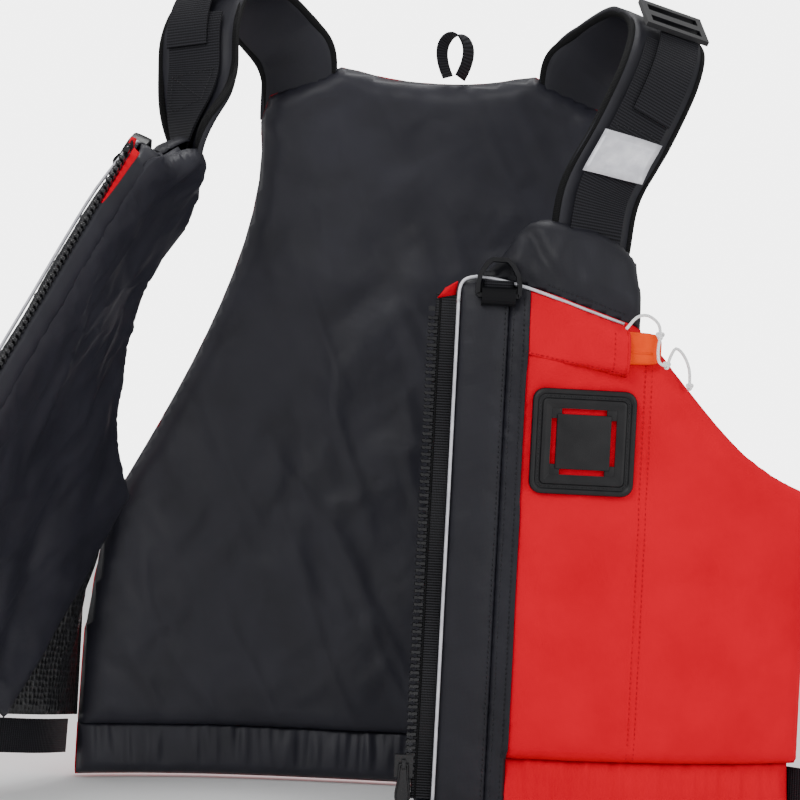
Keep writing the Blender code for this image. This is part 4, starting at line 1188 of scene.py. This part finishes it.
def make_zip_tape(side, body):
    """Ribbed tape, with a cord along its edge."""
    across = (0.0056, 0.0064, 0.0086, 0.0125, 0.0165, 0.0205, 0.0240)
    rib_share = (0.2, 1, 1, 1, 1, 1, 1)      # the ribs fade and the tape dips at its edge
    dips = (0.0004, 0.0008, 0.0, 0.0, 0.0, 0.0, 0.0)
    rib_shape = (0.0, 0.0005, 0.0007, 0.0005)     # how one rib rises along the tape
    rows = []
    steps = 4 * int((TAPE_TOP - TAPE_BOTTOM) / RIB_PITCH)
    for k, up in enumerate(spread(TAPE_BOTTOM, TAPE_TOP, steps)):
        rows.append([at_zip(side, a, up, 0.0004 + rib_shape[k % 4] * share + dip)
                     for a, share, dip in zip(across, rib_share, dips)])
    tape = sheet("zip_tape_look_" + SIDE_NAME[side], rows, "tape", 0.0007)
    stand_for(tape, body, "zip_tape_" + SIDE_NAME[side])
    cord = [at_zip(side, 0.0088, up, 0.0010) for up in spread(TAPE_BOTTOM, TAPE_TOP, 60)]
    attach(tube("zip_cord_" + SIDE_NAME[side], cord, 0.0008, "binding"), body)


def make_zip_guard(side, body):
    """Strip of lining cloth from behind the teeth, and round the corner, to the lining's edge."""
    place = PLACE_FRONT[side]
    edges = []
    for up in spread(0.010, 0.362, 90):
        edges.append((at_zip(side, TOOTH_BACK, up, -0.0010),
                      draped(place, front_inside, GUARD_END, up, 0.0006)))
    for across, up in front_corner()[1:] + yoke_edge()[1:6]:
        edges.append((draped(place, front_outside, across, up, -0.0016),
                      draped(place, front_inside, across + 0.0045, up - 0.0050, 0.0006)))
    inward = -outward(place, 0.02, 0.2)
    rows = []
    for k, (start, end) in enumerate(edges):
        bulge = 0.0022 * (1 + 0.5 * noise.noise(Vector((k * 0.33, side, 41.0))))
        rows.append([start.lerp(end, t) + inward * bulge * math.sin(math.pi * t)
                     for t in spread(0, 1, 6)])
    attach(sheet("zip_guard_" + SIDE_NAME[side], rows, "lining", CLOTH), body)


def make_zip_teeth(side, body):
    """One half's row of teeth, as one piece."""
    bm = bmesh.new()
    for k in range(int((ZIP_TOP - ZIP_BOTTOM) / TOOTH_PITCH)):
        add_tooth(bm, side, ZIP_BOTTOM + (k + 0.48) * TOOTH_PITCH)
    teeth = make_object("zip_teeth_look_" + SIDE_NAME[side], bm, "teeth", sharp=50)
    stand_for(teeth, body, "zip_teeth_" + SIDE_NAME[side])


def make_facing(side, body):
    """Red facing turned out at the zip's top: a small leaf over the end of the tape."""
    near, far, tip, back = (0.0066, 0.3665), (0.0190, 0.3690), (0.0200, 0.3785), (0.0120, 0.3735)
    rows = []
    for fold, (a0, b0), (a1, b1) in ((0.0, near, far), (0.0016, near, tip), (0.0032, back, tip)):
        rows.append([at_zip(side, a0 + (a1 - a0) * t, b0 + (b1 - b0) * t,
                            0.001 + 0.0012 * math.sin(math.pi * t) + fold)
                     for t in spread(0, 1, 6)])
    flap = sheet("zip_facing_look_" + SIDE_NAME[side], rows, "red", 0.0008)
    stand_for(flap, body, "zip_facing_" + SIDE_NAME[side])


def make_facing_tail(side, body):
    """The red facing runs down behind the top teeth and narrows to a point."""
    place = PLACE_FRONT[side]
    inward = -outward(place, 0.02, 0.2)
    rows = []
    for down in spread(0, 1, 12):
        up = 0.3660 - 0.0480 * down
        start = at_zip(side, 0.0080, up, -0.0012)
        end = draped(place, front_inside, GUARD_END, up)
        share = 0.19 * math.sqrt(1.02 - down)
        rows.append([start.lerp(end, t) + inward * (0.0008 + 0.0036 * math.sin(math.pi * t))
                     for t in spread(0, share, 4)])
    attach(sheet("zip_facing_tail_" + SIDE_NAME[side], rows, "red", 0.0006), body)


def add_tooth(bm, side, up):
    """One moulded tooth: a block clamped on the tape, a neck, and a rounded head."""
    upper = [(TOOTH_BACK, 0.0011), (0.0074, 0.0015), (0.0048, 0.0015), (0.0036, 0.0008),
             (0.0024, 0.0016), (0.0012, 0.0014), (0.0007, 0.0005)]
    outline = upper + [(a, -b) for a, b in upper[::-1]]
    middle = 0.0040
    rings = []
    for depth, shrink in ((-0.0018, 0.75), (-0.0012, 1.0), (0.0014, 1.0), (0.0022, 0.70)):
        rings.append([at_zip(side, middle + (a - middle) * (0.5 + 0.5 * shrink),
                             up + b * shrink, depth) for a, b in outline])
    skin(rings, bm=bm)


def tab_frame(side, place):
    """X and Z along the tab's sides and -Y out of the chest, at the tab's back."""
    across, up = TAB_CENTRE
    lift = front_outside(across, up) + 0.0004
    reach = 0.03
    along = (place(across + reach, up, lift) - place(across - reach, up, lift)).normalized() * side
    rise = (place(across, up + reach, lift) - place(across, up - reach, lift)).normalized()
    matrix = Matrix((along, rise.cross(along), rise)).transposed().to_4x4()
    matrix.translation = place(across, up, lift)
    return matrix


def rounded_square(half, radius, out):
    """Ring of points round a square with rounded corners, at a height off the cloth."""
    points = []
    for quarter, (x, z) in enumerate(((1, -1), (1, 1), (-1, 1), (-1, -1))):
        for angle in spread(90 * (quarter - 1), 90 * quarter, 5):
            t = math.radians(angle)
            points.append(Vector((x * (half - radius) + radius * math.cos(t), -out,
                                  z * (half - radius) + radius * math.sin(t))))
    return points


TAB_OPENING = 0.0232        # half the square opening inside the tab's frame
TAB_PAD = 0.0193            # half the pad in its middle, with the slots between them
TAB_CORNER = 0.0085


def make_tab_rim(name, matrix, body):
    """The tab's frame: a raised bead, a channel for the stitches, and a bevel to the opening."""
    half = TAB_SIZE / 2
    profile = [(half, 0.0), (half, 0.0022), (half - 0.0006, 0.0032), (half - 0.0020, 0.0038),
               (half - 0.0034, 0.0033), (half - 0.0042, 0.0024), (half - 0.0066, 0.0024),
               (half - 0.0074, 0.0036), (half - 0.0084, 0.0040), (TAB_OPENING + 0.0040, 0.0040),
               (TAB_OPENING + 0.0034, 0.0038), (TAB_OPENING, 0.0022), (TAB_OPENING, 0.0)]
    rings = []
    for reach, out in profile:
        radius = TAB_CORNER - (half - reach) * 0.72 if reach > TAB_OPENING + 0.0043 else 0.0006
        rings.append([matrix @ p for p in rounded_square(reach, max(0.0004, radius), out)])
    rim = solid("lash_tab_rim_" + name, rings, "rubber", 28, closed_row=True)
    stand_for(rim, body, "lash_tab_" + name)


def make_tab(side, place, body):
    """Moulded square tab: its stitched frame, a pad in the middle and four bridges, so four slots."""
    name = SIDE_NAME[side]
    matrix = tab_frame(side, place)
    make_tab_rim(name, matrix, body)
    pad = [(TAB_PAD, 0.0008, 0.0), (TAB_PAD, 0.0008, 0.0026), (TAB_PAD - 0.0003, 0.0008, 0.0030),
           (TAB_PAD - 0.0009, 0.0006, 0.0032)]
    rings = [[matrix @ p for p in rounded_square(*ring)] for ring in pad]
    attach(solid("lash_tab_centre_" + name, rings, "rubber", 28), body)
    inner, outer = 0.0160, TAB_OPENING + 0.0006
    for k in range(4):
        turn = matrix @ Matrix.Rotation(math.radians(90 * k), 4, "Y")
        bar = rounded_box("lash_tab_bridge_%s_%d" % (name, k), (inner, -0.0020, inner),
                          (outer, 0.0, outer), 0.0003, "rubber", turn)
        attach(bar, body)
    ring = [matrix @ p for p in rounded_square(TAB_SIZE / 2 - 0.0054, 0.0046, 0.0026)]
    facing = matrix.to_3x3() @ Vector((0, -1, 0))
    sewn = stitches("lash_tab_stitches_" + name, [ring + ring[:1]], facing, "thread", 0.0030, 0.0022)
    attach(sewn, body)


def make_ring_webbing(side, place, body):
    """Folded webbing that holds the lash ring, sewn down into the yoke seam."""
    name = SIDE_NAME[side]
    polish("ring_loop_" + name, "webbing", 0.0004)
    make_lash_ring(side)
    middle, half = 0.049, 0.0105
    low = seam_height(middle) - 0.006
    rows = [[place(across, up, lift) for across in spread(middle - half, middle + half, 6)]
            for up, lift in ((low - 0.004, 0.0024), (low, 0.0040), (low + 0.0030, 0.0052))]
    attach(sheet("ring_webbing_" + name, rows, "webbing", 0.0012), body)


def make_lash_ring(side):
    """Flat moulded ring with upright sides and a rounded top."""
    node = "lash_ring_" + SIDE_NAME[side]
    bar = 0.0032
    low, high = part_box("lash_ring_left")
    centre = middle_of("lash_ring_left") - ORIGIN
    half, tall = (high.x - low.x - bar) / 2, high.z - low.z - bar
    foot = low.z + bar / 2
    arch = [(-0.96, 0.0), (-1.0, 0.03), (-1.0, 0.32), (-0.90, 0.58), (-0.62, 0.86), (-0.36, 0.99)]
    arch = [(0.0, 0.0)] + arch + [(-x, z) for x, z in arch[::-1]] + [(0.0, 0.0)]
    path = [STANDS[side] @ (Vector((side * (centre.x + x * half), centre.y, foot + z * tall)) + ORIGIN)
            for x, z in arch]
    across = [(STANDS[side].to_3x3() @ Vector((0, 1, 0))).normalized()] * len(path)
    ring = strap(node + "_look", path, across, high.y - low.y, 0.0030, "plastic", 0.0003, 30)
    stand_for(ring, node, node)


# ---- back

def make_back():
    """Red cloth behind, charcoal lining in front, and the hem."""
    outline = back_outline()
    outer = cloth_panel("back_cloth", outline, PLACE_BACK, back_outside, "red", 1, pitch=0.0055,
                        seams=[BACK_QUILTING])
    stand_for(outer, "back", "back_outer_panel", "back_foam_lower", "back_foam_upper", fill=0.8)
    lining = cloth_panel("back_lining_cloth", outline, PLACE_BACK, back_inside, "lining", -1,
                         seams=[])
    stand_for(lining, "back", "back_lining", fill=0.8)
    make_hem("back_hem", "back", PLACE_BACK, (-BACK_HALF_WIDTH, BACK_HALF_WIDTH), BACK_HEM_SEAM,
             "back_hem_elastic")


def make_hang_loop():
    """Teardrop of folded webbing on the neck edge."""
    low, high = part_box("hang_loop")
    foot = Vector(JOINTS["hang_loop_flop"]["pos_m"])
    teardrop = bezier((-0.0045, 0.0), (-0.0265, 0.043), (0.0265, 0.043), (0.0045, 0.0), 28)
    path = [foot + Vector((x, 0.0, z)) for x, z in teardrop]
    across = [Vector((0.85, 1.0, 0.0)).normalized()] * len(path)
    loop = strap("hang_loop_look", path, across, high.y - low.y, 0.0016, "webbing")
    stand_for(loop, "hang_loop", "hang_loop")


# ---- sides and shoulders

def bent(piece, path):
    """Bake the piece's placement into its mesh. The path is not used."""
    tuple(path[0])
    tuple(path[-1])
    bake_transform(piece)


def side_run(side, up_back, up_front, lift, bulge, steps):
    """Points from the back's side edge to the front's, bulging outward."""
    start = PLACE_BACK(side * (BACK_HALF_WIDTH + 0.002), up_back, lift)
    end = PLACE_FRONT[side](HALF_WIDTH + 0.002, up_front, lift)
    run = end - start
    out = (Vector((-run.y, run.x, 0)) * (-side)).normalized()
    return [start + run * t + out * bulge * math.sin(math.pi * t) for t in spread(0, 1, steps)]


SIDE_ROWS, SIDE_COLUMNS = 22, 28
MESH_ON_BACK = (0.046, 0.194)       # heights between which the mesh is sewn to the back
MESH_ON_FRONT = (0.050, 0.228)


def make_side(side):
    """Mesh between back and front with its bound edges, and the waist strap below."""
    name = SIDE_NAME[side]
    rows = []
    heights = zip(spread(*MESH_ON_BACK, SIDE_ROWS), spread(*MESH_ON_FRONT, SIDE_ROWS))
    for k, (up_back, up_front) in enumerate(heights):
        row = side_run(side, up_back, up_front, -0.012, 0.006, SIDE_COLUMNS)
        for m, point in enumerate(row):
            ease = math.sin(math.pi * m / SIDE_COLUMNS)
            point.x += side * 0.0035 * ease * noise.noise(Vector((k * 0.30, m * 0.22, 2.0 * side)))
        rows.append(row)
    cloth = sheet("side_mesh_look_" + name, rows, "mesh", 0.0012)
    apply_modifiers(cloth)
    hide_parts("side_mesh_" + name)
    across, middle = rows[SIDE_ROWS // 2], SIDE_COLUMNS // 2
    bent(cloth, across)
    top, back, front = rows[-1], [row[0] for row in rows], [row[-1] for row in rows]
    bindings = [tube("side_binding_%s_%s" % (edge, name), line, 0.0018, "binding", squash=0.8)
                for edge, line in (("top", top), ("back", back), ("front", front))]
    bent(bindings[0], across)
    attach(bindings[1], "back")
    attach(bindings[2], name + "_front")
    belt = side_run(side, 0.028, 0.030, 0.004, 0.010, 36)
    band = strap("side_strap_look_" + name, belt, [Vector((0, 0, 1))] * len(belt), 0.025, 0.0018,
                 "webbing")
    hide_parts("side_strap_" + name)
    bent(band, belt)


SHOULDER_ROUTE = {
    LEFT: [(0.104, 0.074, 0.500), (0.106, 0.068, 0.542), (0.124, 0.059, 0.562),
           (0.150, 0.034, 0.578), (0.164, 0.004, 0.568), (0.159, -0.022, 0.538),
           (0.140, -0.038, 0.492), (0.119, -0.046, 0.449), (0.113, -0.049, 0.410)],
    RIGHT: [(-0.104, 0.074, 0.500), (-0.106, 0.068, 0.542), (-0.122, 0.060, 0.564),
            (-0.146, 0.036, 0.582), (-0.166, 0.004, 0.578), (-0.174, -0.020, 0.552),
            (-0.173, -0.032, 0.516), (-0.1740, -0.043, 0.480), (-0.1735, -0.047, 0.448)],
}
# Which way the strap's width lies where it enters the yoke, and the share of the shoulder's
# length from which it turns that way
LANDING = {LEFT: Vector((0.94, 0.25, -0.15)), RIGHT: Vector((-0.25, 0.84, -0.45))}
LANDING_FROM, LANDING_RUN = 0.72, 0.26
WEBBING_FROM = {LEFT: 0.58, RIGHT: 0.60}   # share of the shoulder's length
PAD_WIDTH = 0.058
WEBBING_RISE = 0.0084       # from the shoulder's centre line out to the wide webbing's middle
FOLD_STEPS = 15             # steps of the shoulder's centre line under the folded webbing
BOX_STEPS = (19, 13)        # steps from the shoulder's lower end to both ends of the sewn box


def shoulder_frame(side):
    """Finely divided centre line of the padded strap, with its width and outward ways."""
    path = [ORIGIN + point for point in through(SHOULDER_ROUTE[side], 9)]
    count = len(path)
    start = Vector((side * 0.9, 0.15, -0.42)).normalized()
    end = Vector((side * 0.94, 0.25, -0.15)).normalized()
    across = []
    for t in spread(0, 1, count - 1):
        turned = smooth((t - LANDING_FROM) / LANDING_RUN)
        across.append(start.lerp(end, t).lerp(LANDING[side], turned).normalized())
    out = []
    for k in range(count):
        ahead = path[min(k + 1, count - 1)] - path[max(k - 1, 0)]
        out.append(side * ahead.cross(across[k]).normalized())
    return path, across, out


def make_shoulder(side):
    """Padded strap with bound edges, and the wide webbing sewn along it."""
    name = SIDE_NAME[side]
    path, across, out = shoulder_frame(side)
    pad = strap("shoulder_pad_look_" + name, path, across, PAD_WIDTH, 0.0040, "black", 0.0022, 80)
    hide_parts("shoulder_pad_" + name)
    bent(pad, path)
    for edge, sign in (("outer", 1), ("inner", -1)):
        line = [p + a * (sign * (PAD_WIDTH / 2 - 0.0012)) for p, a in zip(path, across)]
        binding = tube("shoulder_binding_%s_%s" % (edge, name), line, 0.0030, "binding", sides=10)
        bent(binding, path)
    first = int(WEBBING_FROM[side] * (len(path) - 1))
    line = [p + o * WEBBING_RISE for p, o in zip(path, out)][first:]
    band = strap("shoulder_webbing_look_" + name, line, across[first:], 0.038, 0.0018, "webbing")
    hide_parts("shoulder_webbing_" + name)
    bent(band, path)
    make_box_stitches(side, path, across, out)
    make_fold(side, path, across, out)
    polish("shoulder_adjuster_" + name, "plastic", 0.0009)
    if side == LEFT:
        make_patch(path, across, out)


def make_fold(side, path, across, out):
    """The webbing's loose end, folded back from the adjuster over the strap."""
    name = SIDE_NAME[side]
    first = nearest(path, middle_of("shoulder_adjuster_" + name)) + 2
    rise, shift = WEBBING_RISE + 0.0026, 0.0050
    line = []
    for k, t in enumerate(spread(0, 1, FOLD_STEPS - 1), first):
        slack = 0.0012 * math.sin(math.pi * t)
        line.append(path[k] + out[k] * (rise + slack) + across[k] * shift)
    fold = strap("webbing_fold_" + name, line, across[first:first + FOLD_STEPS], 0.0300, 0.0017,
                 "webbing")
    bent(fold, path)


def make_box_stitches(side, path, across, out):
    """A sewn box with a cross near the webbing's lower end."""
    low, high = [len(path) - steps for steps in BOX_STEPS]
    a, b, c, d = [path[k] + out[k] * (WEBBING_RISE + 0.0011) + across[k] * (sign * 0.0155)
                  for k, sign in ((low, -1), (low, 1), (high, 1), (high, -1))]
    lines = [[a, b], [b, c], [c, d], [d, a], [a, c], [b, d]]
    sewn = stitches("shoulder_stitches_" + SIDE_NAME[side], lines, out[low], "thread",
                    0.0030, 0.0022, 0.00045)
    bent(sewn, path)


def make_patch(path, across, out):
    """Silver band round the webbing, curling off it at its lower corner."""
    near = nearest(path, middle_of("reflective_patch_left")) + 4
    half_width, reach = 0.0220, 3
    rows = []
    for k, t in enumerate(spread(-1, 1, 2 * reach), near - reach):
        row = []
        for s in spread(-1, 1, 10):
            curl = 0.0050 * max(0.0, s) ** 2 * max(0.0, t) + 0.0016 * (1 - s * s)
            row.append(path[k] + across[k] * (s * half_width)
                       + out[k] * (WEBBING_RISE + 0.0024 + curl))
        rows.append(row)
    patch = sheet("reflective_patch_look", rows, "silver", 0.0008)
    apply_modifiers(patch)
    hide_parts("reflective_patch_left")
    bent(patch, path)


def make_slider():
    """The slider, and a tapered pull with a raised rim."""
    polish("zip_slider", "teeth", 0.0007)
    polish("zip_slider_arch", "teeth", 0.0004)
    low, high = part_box("zip_pull")
    length = high.z - low.z
    hang = middle_of("zip_pull") + Vector((0, 0, length / 2))

    def outline(inset):
        half_top, half_low = 0.0034 - inset, 0.0056 - inset
        side = [(half_top, -inset), (half_top + 0.0006, -0.35 * length), (half_low, -0.72 * length)]
        end = [(half_low * math.cos(t), -0.80 * length - (0.20 * length - inset) * math.sin(t))
               for t in spread(0, math.pi, 12)]
        return side + end + [(-x, z) for x, z in side[::-1]]

    rings = []
    for inset, depth in ((0.0016, 0.0006), (0.0, 0.0006), (0.0, -0.0006), (0.0004, -0.0012),
                         (0.0010, -0.0012), (0.0016, -0.0005)):
        rings.append([hang + Vector((x, depth, z)) for x, z in outline(inset)])
    pull = solid("zip_pull_look", rings, "teeth", 35)
    stand_for(pull, "zip_pull", "zip_pull")


make_camera()
make_cord()
make_whistle()
make_pocket()
for side in (LEFT, RIGHT):
    make_front(side)
    make_side(side)
    make_shoulder(side)
make_back()
make_hang_loop()
make_slider()
settle_cloth()
make_studio()
